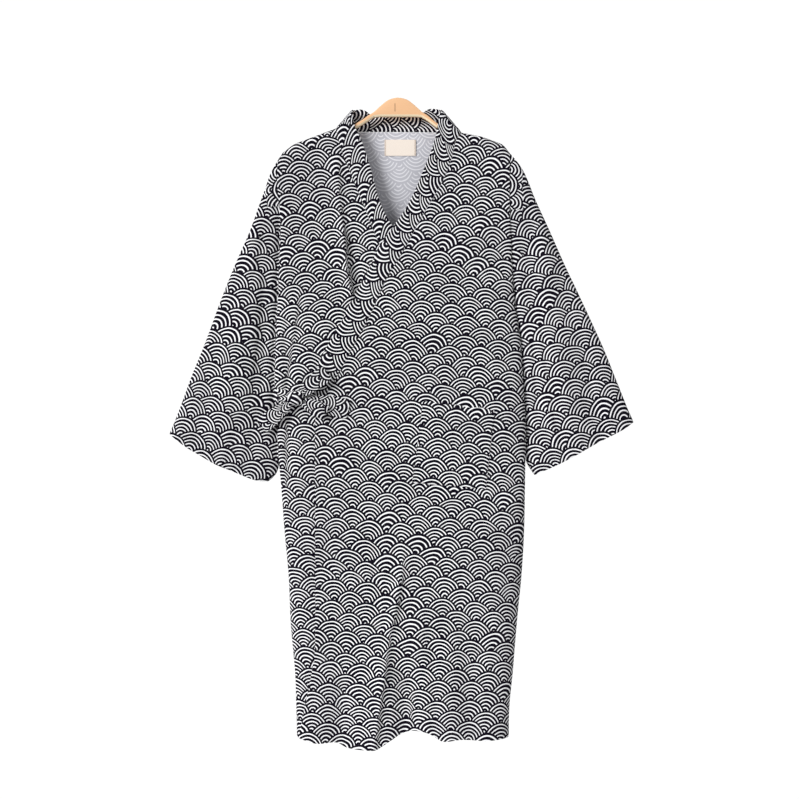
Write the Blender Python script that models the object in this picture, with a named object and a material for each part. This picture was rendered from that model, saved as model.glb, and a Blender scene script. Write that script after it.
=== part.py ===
"""A short kimono robe that hangs, wrapped and tied, on its wooden hanger.

Frame: metres, +Z up, +X to the wearer's left, the front of the robe towards -Y. The origin is the top of the
hanger's crown, in the mouth of the screw hole that its hook would take. Tables are in millimetres.

The robe is two fronts and a back of flat-cut cloth, two wide sleeves, one collar band, a patch pocket, a bare
label and a belt that is tied in a bow at the wearer's right side. The wearer's left front lies over the right.
"""

import math

import bmesh
import bpy
import numpy as np

MM = 0.001

# Cloth and clearances
CLOTH = 1.5
BAND_CLOTH = 2.0
TRIM_CLOTH = 1.0
SEAM_GAP = 0.3
BAND_GAP = 0.5
LAID_ON = 0.6
ARMHOLE_DEPTH = 12.0
CUFF_DEPTH = 14.0
SHOULDER_TURN = 10.0
SIDE_FLATNESS = 3.0
YOKE_FLATNESS = 6.0
YOKE_BLEND = 60.0
LAP_REACH = 0.12
ARMPIT_CLEAR = 3.0
ARMPIT_EASE = 40.0
SLEEVE_START = 0.15
SLEEVE_FOLD_START = 0.2
BACK_LEAN = 3.0
HEM_CORNER_CLEAR = 8

# Hanger
HANGER_THICK = 12.0
HOLE_WIDE = 4.0
HOLE_DEEP = 14.0

# The line on which the cloth turns from front to back, over the shoulders and up the collar: x, z
RIDGE = (
    (-212, -101), (-192, -86), (-150, -70), (-115, -57), (-85, -22.5), (-67, 11), (0, 33),
    (56, 11), (81.5, -22.5), (118, -65), (154, -72), (192, -86), (207, -103),
)
# Which rows of the ridge lie between the neck and the sleeve: their x
SHOULDER_X = {"right": (-192, -150), "left": (154, 192)}
# Where a sleeve is sewn to the body, from the shoulder down to the armpit: x, z
ARMHOLE = {
    "right": ((-212, -101), (-222, -122), (-223, -161), (-218, -202), (-216, -250), (-219, -310), (-221, -361)),
    "left": ((207, -103), (206, -152), (206, -205), (208, -263), (213, -355)),
}
# The body's side seams, from armpit to hem: x, z
SIDE = {
    "right": (
        (-221, -361), (-226, -457), (-228, -549), (-224, -596), (-220, -670), (-216, -714), (-210, -796),
        (-202, -884), (-198, -973), (-190, -1062), (-188, -1121), (-186, -1181),
    ),
    "left": (
        (213, -355), (217, -392), (226, -448), (232, -540), (236, -614), (235, -679), (233, -799), (228, -884),
        (222, -944), (216, -1012), (212, -1062), (206, -1121), (204, -1180),
    ),
}
# The fold along the top of a sleeve, from shoulder to cuff: x, z
SLEEVE_TOP = {
    "right": (
        (-212, -101), (-229, -130), (-240, -159), (-252, -189), (-274, -248), (-300, -307), (-324, -366),
        (-357, -455), (-381, -514), (-403, -574), (-422, -622),
    ),
    "left": (
        (207, -103), (228, -130), (242, -159), (254, -189), (281, -248), (307, -307), (335, -366), (376, -455),
        (400, -514), (424, -574), (435, -600),
    ),
}
# The open edge of a sleeve, from the top fold to the lower seam: x, z
CUFF = {
    "right": ((-422, -622), (-392, -645), (-363, -662), (-337, -677), (-303, -691), (-266, -706), (-241, -709)),
    "left": ((435, -600), (411, -616), (364, -640), (307, -672), (253, -697)),
}
# A sleeve's lower seam, from armpit to cuff, just outside the body's side: x, z
SLEEVE_SEAM = {
    "right": (
        (-221, -361), (-223.8, -375), (-228, -457), (-230, -549), (-226, -600), (-222.3, -670), (-226, -693),
        (-241, -709),
    ),
    "left": (
        (213, -355), (216.8, -370), (221.4, -405), (228.2, -448), (234.2, -540), (238.2, -614), (238.5, -668),
        (253, -697),
    ),
}
# The collar band's sewn edge and free edge on each front, from the side of the neck down: x, z
BAND_SEAM = {
    "left": (
        (118, -65), (107, -80), (102, -102), (97, -120), (89, -141), (76, -168), (58, -198), (38, -233), (9, -287),
        (-20, -334), (-44, -388), (-64, -429), (-86, -468), (-109, -511), (-130, -546), (-148, -579),
    ),
    "right": (
        (-115, -57), (-105, -96), (-92, -130), (-79, -163), (-63, -200), (-48, -240), (-31, -278), (-9, -311),
        (15, -346), (43, -392), (70, -437), (96, -481), (118, -518), (139, -555), (155, -583),
    ),
}
BAND_FREE = {
    "left": (
        (81.5, -22.5), (75, -42), (71, -67), (61, -100), (48, -133), (27, -183), (6, -220), (-9, -240), (-35, -280),
        (-57, -326), (-80, -364), (-99, -406), (-121, -444), (-140, -481), (-152, -511), (-153, -540), (-152, -572),
    ),
    "right": (
        (-85, -22.5), (-80, -54), (-70, -74), (-60, -102), (-48, -141), (-37, -183), (-24, -215), (-9, -240),
        (17, -272), (43, -303), (65, -337), (89, -377), (113, -418), (133, -457), (151, -488), (161, -518),
        (161, -549), (159, -577),
    ),
}
# The band's two edges round the back of the neck, from the wearer's right to left: x, z
NECK_SEAM = ((-115, -57), (-104, -60), (-76, -61), (0, -61), (76, -62), (105, -64), (118, -65))
NECK_FREE = (
    (-85, -22.5), (-79, -19), (-69, -18), (-60, -21), (-52, -27), (-40, -31), (0, -32),
    (36, -31), (45, -26), (52, -20), (62, -16.5), (74, -18), (81.5, -22.5),
)
# Front edges below the band, from waist to hem: x, z
FRONT_EDGE = {
    "left": ((-148, -579), (-152, -600), (-152, -744), (-152, -1003), (-156, -1045), (-165, -1093), (-183, -1180)),
    "right": ((155, -583), (159, -610), (160, -1003), (168, -1180)),
}
# The hem as it hangs: x, z
HEM = (
    (-186, -1181), (-150, -1190), (-115, -1188), (-94, -1197), (-70, -1200), (-41, -1199), (-18, -1186), (6, -1171),
    (24, -1166), (47, -1167), (65, -1174), (83, -1184), (115, -1181), (156, -1184), (179, -1183), (204, -1180),
)
# Half depths of the hanging body by height: z, front, how far the upper front lies over the under one, back
HALF_DEPTH = (
    (0, 10, 0, 19), (-57, 10, 0, 15), (-110, 11, 0, 15), (-200, 12.5, 3.5, 16), (-240, 13.5, 4.5, 17),
    (-400, 17.5, 4.5, 19), (-560, 19.5, 4.5, 21), (-900, 23.5, 6, 25), (-1200, 27.5, 6.5, 28),
)
# Ridges and troughs of the fronts: x and z at both ends, width, height out of the cloth
FRONT_FOLDS = (
    (-113, -124, -98, -253, 26, 3.0),
    (-98, -253, -85, -359, 26, 4.0),
    (-92, -290, -60, -360, 24, -3.0),
    (-204, -430, -206, -540, 18, -4.0),
    (-203, -600, -206, -700, 18, -4.0),
    (16, -850, -28, -1058, 34, 4.0),
    (-28, -1058, -44, -1210, 44, 7.0),
    (24, -1080, 24, -1210, 44, -6.0),
    (96, -1020, 108, -1210, 44, 4.0),
    (-100, -1080, -108, -1210, 36, -4.0),
    (60, -330, 150, -250, 60, 2.5),
    (-40, -640, 90, -600, 70, 2.5),
)
# The same for the back
BACK_FOLDS = (
    (-130, -420, -118, -1210, 60, 4.0),
    (-40, -700, -52, -1210, 44, -5.0),
    (34, -600, 26, -1210, 52, 5.0),
    (112, -760, 124, -1210, 46, -5.0),
    (-90, -170, 60, -250, 70, 2.5),
)
# The same for both walls of a sleeve, at the wearer's right; the left sleeve has them mirrored
SLEEVE_FOLDS = (
    (-236, -180, -262, -640, 34, -3.0),
    (-262, -260, -330, -650, 50, 3.5),
    (-300, -330, -372, -620, 40, -2.5),
)
# Waves of the hem in depth: where they start across the body, their length, height and reach up from the hem
WAVE_START = -190
WAVE_LONG = 118
WAVE_HIGH = 3.5
WAVE_REACH = 320
HEM_LEVEL = 1200

# Pocket corners on the left front, top row first: x, z
POCKET = ((46, -561), (177, -577), (26, -710), (161, -722))
# Label on the inside of the back: x of its sides, z of its top and bottom
LABEL = (-25, 33, -75, -105)

# The bow: place of its knot and the knot's size
KNOT = (-187, -36, -555)
KNOT_SIZE = (30, 20, 27)
# Its loops: angle from +X towards +Z in degrees, how far they reach from the knot's middle, widest
LOOPS = {
    "bow_loop_upper": (40, 74, 33),
    "bow_loop_lower": (-26, 62, 30),
}
# Where a loop starts from the knot's middle, the depths of its two sides, and its width at the knot
LOOP_NEAR = 14.8
LOOP_BACK = -32.0
LOOP_FRONT = -43.0
PINCHED = 13
# How far a free end arches forward
TAIL_ARCH = 1.5
# Its free ends: angle, start and end from the knot's middle, depth at both, width at both
TAILS = {
    "bow_tail_right": (-12, 13.6, 98, -28.3, -28.0, 13, 36),
    "bow_tail_left": (-141, 15.2, 82, -30.5, -20.5, 13, 30),
}
# The belt between the bow and where it is sewn on: x and z at both ends, width at both
BELT_RUNS = {
    "belt_to_front_edge": (-153, -552, -185.5, -554, 27, 14),
    "belt_to_side_seam": (-222, -549, -188.5, -553, 24, 14),
}

# Spacing of the points, as shares of an edge
ARM_SHARES = (0, 0.008, 0.03, 0.08, 0.18, 0.36, 0.58, 0.78, 0.92, 0.985, 1)
EDGE_SHARES = (0, 0.012, 0.04, 0.085, 0.14)
NECK_SHARES = (0, 0.04, 0.1, 0.19, 0.34, 0.5, 0.66, 0.81, 0.9, 0.96, 1)
BAND_SHARES = (0, 0.33, 0.67, 1)
TIE_SHARES = (-0.5, -0.17, 0.17, 0.5)
LAST_BAND_ROW = 0.985
ROWS_BELOW_ARM = 19
COLUMNS_FRONT = 13
SLEEVE_ROWS = 15
SPLINE_STEPS = 8


def smooth_path(points):
    """A smooth curve through points, as a function of the share of its length, and that length."""
    knots = np.array(points, float)
    ends = np.vstack([2 * knots[0] - knots[1], knots, 2 * knots[-1] - knots[-2]])
    fine = []
    for a, b, c, d in zip(ends, ends[1:], ends[2:], ends[3:]):
        for t in np.arange(SPLINE_STEPS) / SPLINE_STEPS:
            fine.append((2 * b + (c - a) * t + (2 * a - 5 * b + 4 * c - d) * t**2 + (3 * b - a - 3 * c + d) * t**3) / 2)
    fine = np.array(fine + [knots[-1]])
    run = np.concatenate([[0], np.cumsum(np.linalg.norm(np.diff(fine, axis=0), axis=1))])

    def at(share):
        place = np.asarray(share, float) * run[-1]
        return np.stack([np.interp(place, run, column) for column in fine.T], axis=-1)

    return at, run[-1]


def joined_path(*tables):
    """One curve through several tables, each smooth in itself, with a corner where two of them meet."""
    parts = [smooth_path(table) for table in tables]
    starts = np.concatenate([[0], np.cumsum([length for _, length in parts])])

    def at(share):
        place = np.asarray(share, float) * starts[-1]
        found = np.empty(place.shape + (2,))
        for (curve, length), start in zip(parts, starts):
            here = place >= start - 1e-9
            found[here] = curve(np.clip((place[here] - start) / length, 0, 1))
        return found

    return at, starts[-1]


def patch(left, right, top, bottom, across, down):
    """The points of a panel between its four edges, at the shares across and down."""
    u = np.array(across, float)[None, :, None]
    v = np.array(down, float)[:, None, None]
    up, low = top(across)[None], bottom(across)[None]
    first, last = left(down)[:, None], right(down)[:, None]
    corners = (1 - v) * ((1 - u) * up[:, :1] + u * up[:, -1:]) + v * ((1 - u) * low[:, :1] + u * low[:, -1:])
    return (1 - v) * up + v * low + (1 - u) * first + u * last - corners


def side_x(side, z):
    """The x of the body's edge at a height: the armhole above the armpit, the side seam below it."""
    line = np.array(ARMHOLE[side] + SIDE[side][1:], float)
    return np.interp(-z, -line[:, 1], line[:, 0])


def oval(share, flatness=SIDE_FLATNESS):
    """The height of a flattened ring, 0 at both its ends and 1 in the middle."""
    return np.clip(1 - np.abs(2 * np.clip(share, 0, 1) - 1) ** flatness, 0, 1) ** (1 / flatness)


def armhole_depth(x, z):
    """Half the depth of the body at its edge: that of the sleeve's ring at the armhole, and nothing below it."""
    middle = (side_x("left", z) + side_x("right", z)) / 2
    depth = {}
    for side, line in ARMHOLE.items():
        depth[side] = ARMHOLE_DEPTH * oval((line[0][1] - z) / (line[0][1] - line[-1][1]))
    return np.where(x > middle, depth["left"], depth["right"])


def folds_at(x, z, folds):
    """How far the ridges and troughs of a table raise the cloth at a point."""
    raised = np.zeros_like(x)
    for x0, z0, x1, z1, width, height in folds:
        along = np.array([x1 - x0, z1 - z0], float)
        share = np.clip(((x - x0) * along[0] + (z - z0) * along[1]) / (along @ along), 0, 1)
        away = np.hypot(x - x0 - share * along[0], z - z0 - share * along[1])
        raised += height * np.exp(-((away / (width / 2)) ** 2))
    return raised


def body_depth(x, z, layer):
    """How far a layer of the body, "upper", "under" or "back", lies from the plane of the hanger."""
    table = np.array(HALF_DEPTH, float)
    half, lap, half_back = [np.interp(-z, -table[:, 0], table[:, column]) for column in (1, 2, 3)]
    if layer == "back":
        half = half_back
    right, left = side_x("right", z), side_x("left", z)
    share = (x - right) / (left - right)
    ridge = np.array(RIDGE, float)
    below = np.clip((np.interp(x, ridge[:, 0], ridge[:, 1]) - z) / SHOULDER_TURN, 0, 1)
    turned = np.sqrt(1 - (1 - below) ** 2)
    reach = np.clip((WAVE_REACH - HEM_LEVEL - z) / WAVE_REACH, 0, 1)
    waves = WAVE_HIGH * np.sin((x - WAVE_START) / WAVE_LONG * 2 * math.pi) * reach
    raised = folds_at(x, z, BACK_FOLDS if layer == "back" else FRONT_FOLDS) + waves
    armpit = ARMHOLE["right"][-1][1]
    yoke = np.clip((z - armpit) / YOKE_BLEND, 0, 1)
    across = (1 - yoke) * oval(share) + yoke * oval(share, YOKE_FLATNESS)
    base = (half + raised) * across * turned
    edge = armhole_depth(x, z) * np.abs(2 * np.clip(share, 0, 1) - 1) ** 6
    depth = np.hypot(base, edge)
    if layer == "upper":
        depth = depth + lap * turned * np.sqrt(np.clip((1 - share) / LAP_REACH, 0, 1))
    return depth


def clear_all():
    for thing in list(bpy.data.objects):
        bpy.data.objects.remove(thing, do_unlink=True)


def material(name, colour, roughness):
    """A plain finish: its colour and how matt it is."""
    made = bpy.data.materials.new(name)
    made.use_nodes = True
    shader = made.node_tree.nodes["Principled BSDF"]
    shader.inputs["Base Color"].default_value = (*colour, 1)
    shader.inputs["Roughness"].default_value = roughness
    shader.inputs["Metallic"].default_value = 0
    return made


def add_object(name, points, faces, colour, roughness):
    """One closed body from points in millimetres."""
    mesh = bpy.data.meshes.new(name)
    mesh.from_pydata([tuple(point) for point in np.asarray(points) * MM], [], faces)
    work = bmesh.new()
    work.from_mesh(mesh)
    bmesh.ops.recalc_face_normals(work, faces=work.faces)
    work.to_mesh(mesh)
    work.free()
    mesh.shade_smooth()
    mesh.set_sharp_from_angle(angle=math.radians(50))
    mesh.materials.append(material(name + " finish", colour, roughness))
    thing = bpy.data.objects.new(name, mesh)
    bpy.context.scene.collection.objects.link(thing)
    return thing


def normals_of(middle, ring):
    """The unit normal at each point of a grid, from the even mean of the faces round it."""
    total = np.zeros_like(middle)
    rows, columns = middle.shape[:2]
    for i in range(rows - 1):
        for j in range(columns if ring else columns - 1):
            k = (j + 1) % columns
            face = np.cross(middle[i + 1, k] - middle[i, j], middle[i + 1, j] - middle[i, k])
            face /= max(np.linalg.norm(face), 1e-9)
            for corner in ((i, j), (i, k), (i + 1, j), (i + 1, k)):
                total[corner] += face
    return total / np.maximum(np.linalg.norm(total, axis=2, keepdims=True), 1e-9)


def wall(name, middle, thick, finish, ring=False, keep=None):
    """Cloth of even thickness about a grid of points. A ring's columns close on themselves."""
    out = normals_of(middle, ring) * thick / 2
    skins = [middle + out, middle - out]
    if keep is not None:
        skins = [keep(skin) for skin in skins]
    rows, columns = middle.shape[:2]
    count = rows * columns
    steps = columns if ring else columns - 1
    faces = []
    for i in range(rows - 1):
        for j in range(steps):
            k = (j + 1) % columns
            quad = (i * columns + j, i * columns + k, (i + 1) * columns + k, (i + 1) * columns + j)
            faces.append(quad)
            faces.append(tuple(count + corner for corner in reversed(quad)))
    rim = [[(i * columns + j, i * columns + (j + 1) % columns) for j in range(steps)] for i in (0, rows - 1)]
    edges = rim[0] + rim[1]
    if not ring:
        edges += [(i * columns + j, (i + 1) * columns + j) for i in range(rows - 1) for j in (0, columns - 1)]
    faces += [(a, b, count + b, count + a) for a, b in edges]
    return add_object(name, np.concatenate([skin.reshape(-1, 3) for skin in skins]), faces, *finish)


def within_armholes(points):
    """Keeps the body's cloth on its own side of the armhole seams."""
    kept = points.copy()
    x, z = kept[..., 0], kept[..., 2]
    yoke = z > ARMHOLE["right"][-1][1] + ARMPIT_CLEAR
    low = np.where(yoke, side_x("right", z) + SEAM_GAP / 2, -np.inf)
    high = np.where(yoke, side_x("left", z) - SEAM_GAP / 2, np.inf)
    kept[..., 0] = np.clip(x, low, high)
    return kept


def before_seam_plane(points):
    """Keeps the front's cloth clear of the plane where it meets the back."""
    kept = within_armholes(points)
    kept[..., 1] = np.minimum(kept[..., 1], -SEAM_GAP / 2)
    return kept


def behind_seam_plane(points):
    kept = within_armholes(points)
    kept[..., 1] = np.maximum(kept[..., 1], SEAM_GAP / 2)
    return kept


def rows_down(side_length, arm_length):
    """Shares down a panel: those of the sleeve's ring as far as the armpit, then even ones to the hem."""
    arm = arm_length / side_length
    return [arm * share for share in ARM_SHARES] + list(np.linspace(arm, 1, ROWS_BELOW_ARM + 1)[1:])


def set_back(points, column, distance):
    """Moves one column of a panel sideways, for its seam gap."""
    points[:, column, 0] += distance


def hem_between(x0, x1):
    """The part of the hem between two x, as an edge."""
    table = np.array(HEM, float)
    inner = [tuple(row) for row in table if x0 + HEM_CORNER_CLEAR < row[0] < x1 - HEM_CORNER_CLEAR]
    height = [np.interp(x, table[:, 0], table[:, 1]) for x in (x0, x1)]
    return smooth_path([(x0, height[0]), *inner, (x1, height[1])])[0]


def front_grid(side, across, down=None):
    """The x and z of a front, from the wearer's right to left."""
    arm = smooth_path(ARMHOLE[side])[1]
    outer, outer_length = joined_path(ARMHOLE[side], SIDE[side])
    inner, _ = joined_path(BAND_SEAM[side], FRONT_EDGE[side])
    if down is None:
        down = rows_down(outer_length, arm)
    neck, corner = BAND_SEAM[side][0], ARMHOLE[side][0]
    ridge = [row for row in RIDGE if min(neck[0], corner[0]) < row[0] < max(neck[0], corner[0])]
    if side == "left":
        top = smooth_path([neck, *ridge, corner])[0]
        return patch(inner, outer, top, hem_between(FRONT_EDGE[side][-1][0], SIDE[side][-1][0]), across, down)
    top = smooth_path([corner, *ridge, neck])[0]
    return patch(outer, inner, top, hem_between(SIDE[side][-1][0], FRONT_EDGE[side][-1][0]), across, down)


def back_top():
    """The back's upper edge, along one shoulder, the neck and the other shoulder, with the share of each corner."""
    shoulders = {side: [row for row in RIDGE if row[0] in inner] for side, inner in SHOULDER_X.items()}
    parts = (
        [ARMHOLE["right"][0], *shoulders["right"], NECK_SEAM[0]],
        NECK_SEAM,
        [NECK_SEAM[-1], *shoulders["left"], ARMHOLE["left"][0]],
    )
    lengths = [smooth_path(part)[1] for part in parts]
    top, total = joined_path(*parts)
    return top, lengths[0] / total, (lengths[0] + lengths[1]) / total


def back_columns():
    """Shares across the back: closer together at its sides, and those of the collar band at the neck."""
    _, neck_start, neck_end = back_top()
    middle = [(EDGE_SHARES[-1] + neck_start) / 2]
    neck = [neck_start + (neck_end - neck_start) * share for share in NECK_SHARES]
    other = [(1 - EDGE_SHARES[-1] + neck_end) / 2]
    return [*EDGE_SHARES, *middle, *neck, *other, *[1 - share for share in reversed(EDGE_SHARES)]]


def back_grid(across, down=None):
    """The x and z of the back, from the wearer's right to left."""
    outer = {side: joined_path(ARMHOLE[side], SIDE[side]) for side in SIDE}
    if down is None:
        down = rows_down(outer["right"][1], smooth_path(ARMHOLE["right"])[1])
    hem = hem_between(SIDE["right"][-1][0], SIDE["left"][-1][0])
    return patch(outer["right"][0], outer["left"][0], back_top()[0], hem, across, down)


def lift(grid, layer):
    """Gives the x and z of a panel their depth on a layer of the body."""
    x, z = grid[..., 0], grid[..., 1]
    depth = body_depth(x, z, layer)
    return np.stack([x, depth if layer == "back" else -depth, z], axis=-1)


def front_columns():
    """Shares across a front from its side seam, closer together where it rounds into that seam."""
    return [*EDGE_SHARES, *np.linspace(EDGE_SHARES[-1], 1, COLUMNS_FRONT)[1:]]


CLOTH_FINISH = ((0.30, 0.29, 0.31), 0.85)
BELT_FINISH = ((0.24, 0.23, 0.25), 0.85)


def build_left_front():
    across = [1 - share for share in reversed(front_columns())]
    panel = lift(front_grid("left", across), "upper")
    set_back(panel, -1, -SEAM_GAP / 2)
    set_back(panel, 0, SEAM_GAP / 2)
    wall("front_left", panel, CLOTH, CLOTH_FINISH, keep=before_seam_plane)


def build_right_front():
    panel = lift(front_grid("right", front_columns()), "under")
    set_back(panel, 0, SEAM_GAP / 2)
    set_back(panel, -1, -SEAM_GAP / 2)
    wall("front_right", panel, CLOTH, CLOTH_FINISH, keep=before_seam_plane)


def build_back():
    panel = lift(back_grid(back_columns()), "back")
    set_back(panel, 0, SEAM_GAP / 2)
    set_back(panel, -1, -SEAM_GAP / 2)
    wall("back", panel, CLOTH, CLOTH_FINISH, keep=behind_seam_plane)


def sleeve_grid(side, around, along):
    """The rings of a sleeve: front wall down from the top fold, back wall up again."""
    edge = [smooth_path(table[side])[0] for table in (ARMHOLE, CUFF, SLEEVE_TOP, SLEEVE_SEAM)]
    flat = patch(edge[2], edge[3], edge[0], edge[1], around, along)
    x, z = flat[..., 0], flat[..., 1]
    run = np.array(along)[:, None]
    share = np.array(around)[None, :]
    mirror = 1 if side == "right" else -1
    raised = folds_at(x * mirror, z, SLEEVE_FOLDS)
    fold = raised * np.clip(run / SLEEVE_FOLD_START, 0, 1)
    half = (ARMHOLE_DEPTH + (CUFF_DEPTH - ARMHOLE_DEPTH) * run + fold) * oval(share)
    start = np.clip(run / SLEEVE_START, 0, 1)
    half = (1 - start) * armhole_depth(x, z) + start * half
    return x, z, half


def build_sleeve(side):
    around = list(ARM_SHARES)
    along = np.linspace(0, 1, SLEEVE_ROWS)
    x, z, half = sleeve_grid(side, around, along)
    front = np.stack([x, -half, z], axis=-1)
    back = np.stack([x, half, z], axis=-1)[:, -2:0:-1]
    rings = np.concatenate([front, back], axis=1)
    rings[0, :, 0] += SEAM_GAP / 2 * (1 if side == "left" else -1)

    def outside_armhole(points):
        """Keeps the sleeve clear of the body: by the seam's gap at the armhole, and by more towards the armpit."""
        kept = points.copy()
        armpit = ARMHOLE[side][-1][1]
        clear = np.interp(kept[..., 2], (armpit, armpit + ARMPIT_EASE), (CLOTH / 2 + SEAM_GAP * 2, SEAM_GAP / 2))
        line = side_x(side, kept[..., 2])
        if side == "left":
            kept[..., 0] = np.maximum(kept[..., 0], line + clear)
        else:
            kept[..., 0] = np.minimum(kept[..., 0], line - clear)
        return kept

    wall("sleeve_" + side, rings, CLOTH, CLOTH_FINISH, ring=True, keep=outside_armhole)


def seam_shares(side):
    """Where the rows of a front meet the band, as shares of the band's sewn edge."""
    outer_length = joined_path(ARMHOLE[side], SIDE[side])[1]
    rows = rows_down(outer_length, smooth_path(ARMHOLE[side])[1])
    whole, seam = joined_path(BAND_SEAM[side], FRONT_EDGE[side])[1], smooth_path(BAND_SEAM[side])[1]
    shares = [row * whole / seam for row in rows if row * whole / seam < LAST_BAND_ROW]
    return [*shares, 1]


def band_rows():
    """The collar band from its low end on the right front, round the neck, to its low end on the left front."""
    edges = {side: (smooth_path(BAND_SEAM[side])[0], smooth_path(BAND_FREE[side])[0]) for side in BAND_SEAM}
    neck = smooth_path(NECK_SEAM)[0], smooth_path(NECK_FREE)[0]
    rows = [(*[edge(share) for edge in edges["right"]], "under") for share in reversed(seam_shares("right"))]
    rows += [(*[edge(share) for edge in neck], "back") for share in NECK_SHARES[1:-1]]
    rows += [(*[edge(share) for edge in edges["left"]], "upper") for share in seam_shares("left")]
    return rows


def build_collar():
    grid = []
    for seam, free, layer in band_rows():
        across = (free - seam) / np.linalg.norm(free - seam)
        grid.append([])
        for share in BAND_SHARES:
            x, z = seam + across * BAND_GAP + (free - seam) * share
            depth = body_depth(np.array(x), np.array(z), layer) + (BACK_LEAN * share if layer == "back" else 0)
            grid[-1].append((x, depth if layer == "back" else -depth, z))
    wall("collar", np.array(grid), BAND_CLOTH, CLOTH_FINISH)


def build_pocket():
    top_right, top_left, low_right, low_left = [np.array(corner, float) for corner in POCKET]
    grid = []
    for down in np.linspace(0, 1, 9):
        start = top_right + (low_right - top_right) * down
        end = top_left + (low_left - top_left) * down
        grid.append([start + (end - start) * across for across in np.linspace(0, 1, 8)])
    panel = lift(np.array(grid), "upper")
    panel[..., 1] -= CLOTH / 2 + LAID_ON + TRIM_CLOTH / 2
    wall("pocket", panel, TRIM_CLOTH, CLOTH_FINISH)


def build_label():
    x0, x1, z0, z1 = LABEL
    grid = np.array([[(x, z) for x in np.linspace(x0, x1, 6)] for z in np.linspace(z0, z1, 4)], float)
    panel = lift(grid, "back")
    panel[..., 1] -= CLOTH / 2 + LAID_ON + TRIM_CLOTH / 2
    wall("label", panel, TRIM_CLOTH, ((0.90, 0.84, 0.72), 0.8))


def build_knot():
    middle, size = np.array(KNOT, float), np.array(KNOT_SIZE, float) / 2
    rings, sides = 9, 16
    points, faces = [], []
    for i in range(1, rings):
        tilt = math.pi * i / rings
        for j in range(sides):
            turn = 2 * math.pi * j / sides
            shape = np.array([math.sin(tilt) * math.cos(turn), math.sin(tilt) * math.sin(turn), math.cos(tilt)])
            square = np.sign(shape) * np.abs(shape) ** 0.8
            pinch = 1 - 0.06 * math.cos(3 * turn)
            points.append(middle + size * square * pinch)
    for i in range(rings - 2):
        for j in range(sides):
            k = (j + 1) % sides
            faces.append((i * sides + j, i * sides + k, (i + 1) * sides + k, (i + 1) * sides + j))
    faces.append(tuple(range(sides)))
    faces.append(tuple(range((rings - 2) * sides, (rings - 1) * sides)))
    add_object("bow_knot", points, faces, *BELT_FINISH)


def ribbon(name, centre, widths, angle):
    """Belt cloth along a line of (distance from the knot's middle, depth), as wide as widths say."""
    along = np.array([math.cos(math.radians(angle)), math.sin(math.radians(angle))])
    across = np.array([-along[1], along[0]])
    grid = []
    for (far, depth), width in zip(centre, widths):
        row = []
        for share in TIE_SHARES:
            x, z = np.array([KNOT[0], KNOT[2]]) + along * far + across * width * share
            row.append((x, depth, z))
        grid.append(row)
    wall(name, np.array(grid), CLOTH, BELT_FINISH)


def build_loop(name):
    """A loop leaves the knot at the back, turns at its far end and comes back in front."""
    angle, reach, widest = LOOPS[name]
    middle, half = (LOOP_BACK + LOOP_FRONT) / 2, (LOOP_BACK - LOOP_FRONT) / 2
    centre, widths = [], []
    for turn in np.linspace(0, 2 * math.pi, 17):
        far = LOOP_NEAR + (reach - LOOP_NEAR) * (1 - math.cos(turn)) / 2
        swell = math.sin(turn) * (0.35 + 0.65 * math.sin(turn / 2))
        centre.append((far, middle + half * (swell + 0.25 * math.cos(turn / 2))))
        widths.append(PINCHED + (widest - PINCHED) * math.sin(turn / 2) ** 0.8)
    ribbon(name, centre, widths, angle)


def build_tail(name):
    angle, start, end, depth0, depth1, width0, width1 = TAILS[name]
    centre, widths = [], []
    for share in np.linspace(0, 1, 8):
        depth = depth0 + (depth1 - depth0) * share - TAIL_ARCH * math.sin(math.pi * share)
        centre.append((start + (end - start) * share, depth))
        widths.append(width0 + (width1 - width0) * min(1, 1.6 * share) ** 0.8)
    ribbon(name, centre, widths, angle)


def build_belt_run(name):
    x0, z0, x1, z1, width0, width1 = BELT_RUNS[name]
    layer = "upper" if name == "belt_to_front_edge" else "under"
    rest = CLOTH + SEAM_GAP
    behind_knot = -KNOT[1] - KNOT_SIZE[1] / 2 - CLOTH / 2 - SEAM_GAP
    grid = []
    for share in np.linspace(0, 1, 5):
        x, z, width = x0 + (x1 - x0) * share, z0 + (z1 - z0) * share, width0 + (width1 - width0) * share
        depth = body_depth(np.array(float(x0 if layer == "upper" else x)), np.array(z), layer) + rest
        depth += (behind_knot - depth) * min(1, 1.4 * share) ** 1.5
        grid.append([(x, -depth, z + width * side) for side in TIE_SHARES])
    wall(name, np.array(grid), CLOTH, BELT_FINISH)


# The hanger's front outline from its middle to the tip of an arm: x, top z, bottom z
HANGER = (
    (0, 0, -35), (8, -1, -35), (19, -5, -35), (33, -16, -35), (44, -26, -36), (55, -33, -43), (66, -41, -50),
    (80, -49, -58), (100, -56.5, -69), (118, -61, -76), (150, -73.2, -88), (180, -86.3, -99), (186, -90, -99),
)
# How far the left arm's rows lie below the right arm's
SHOULDER_DROP = (0, 0, 0, 0, 0, 0, 1.5, 3, 7, 6, 1, 0, 0)


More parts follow.
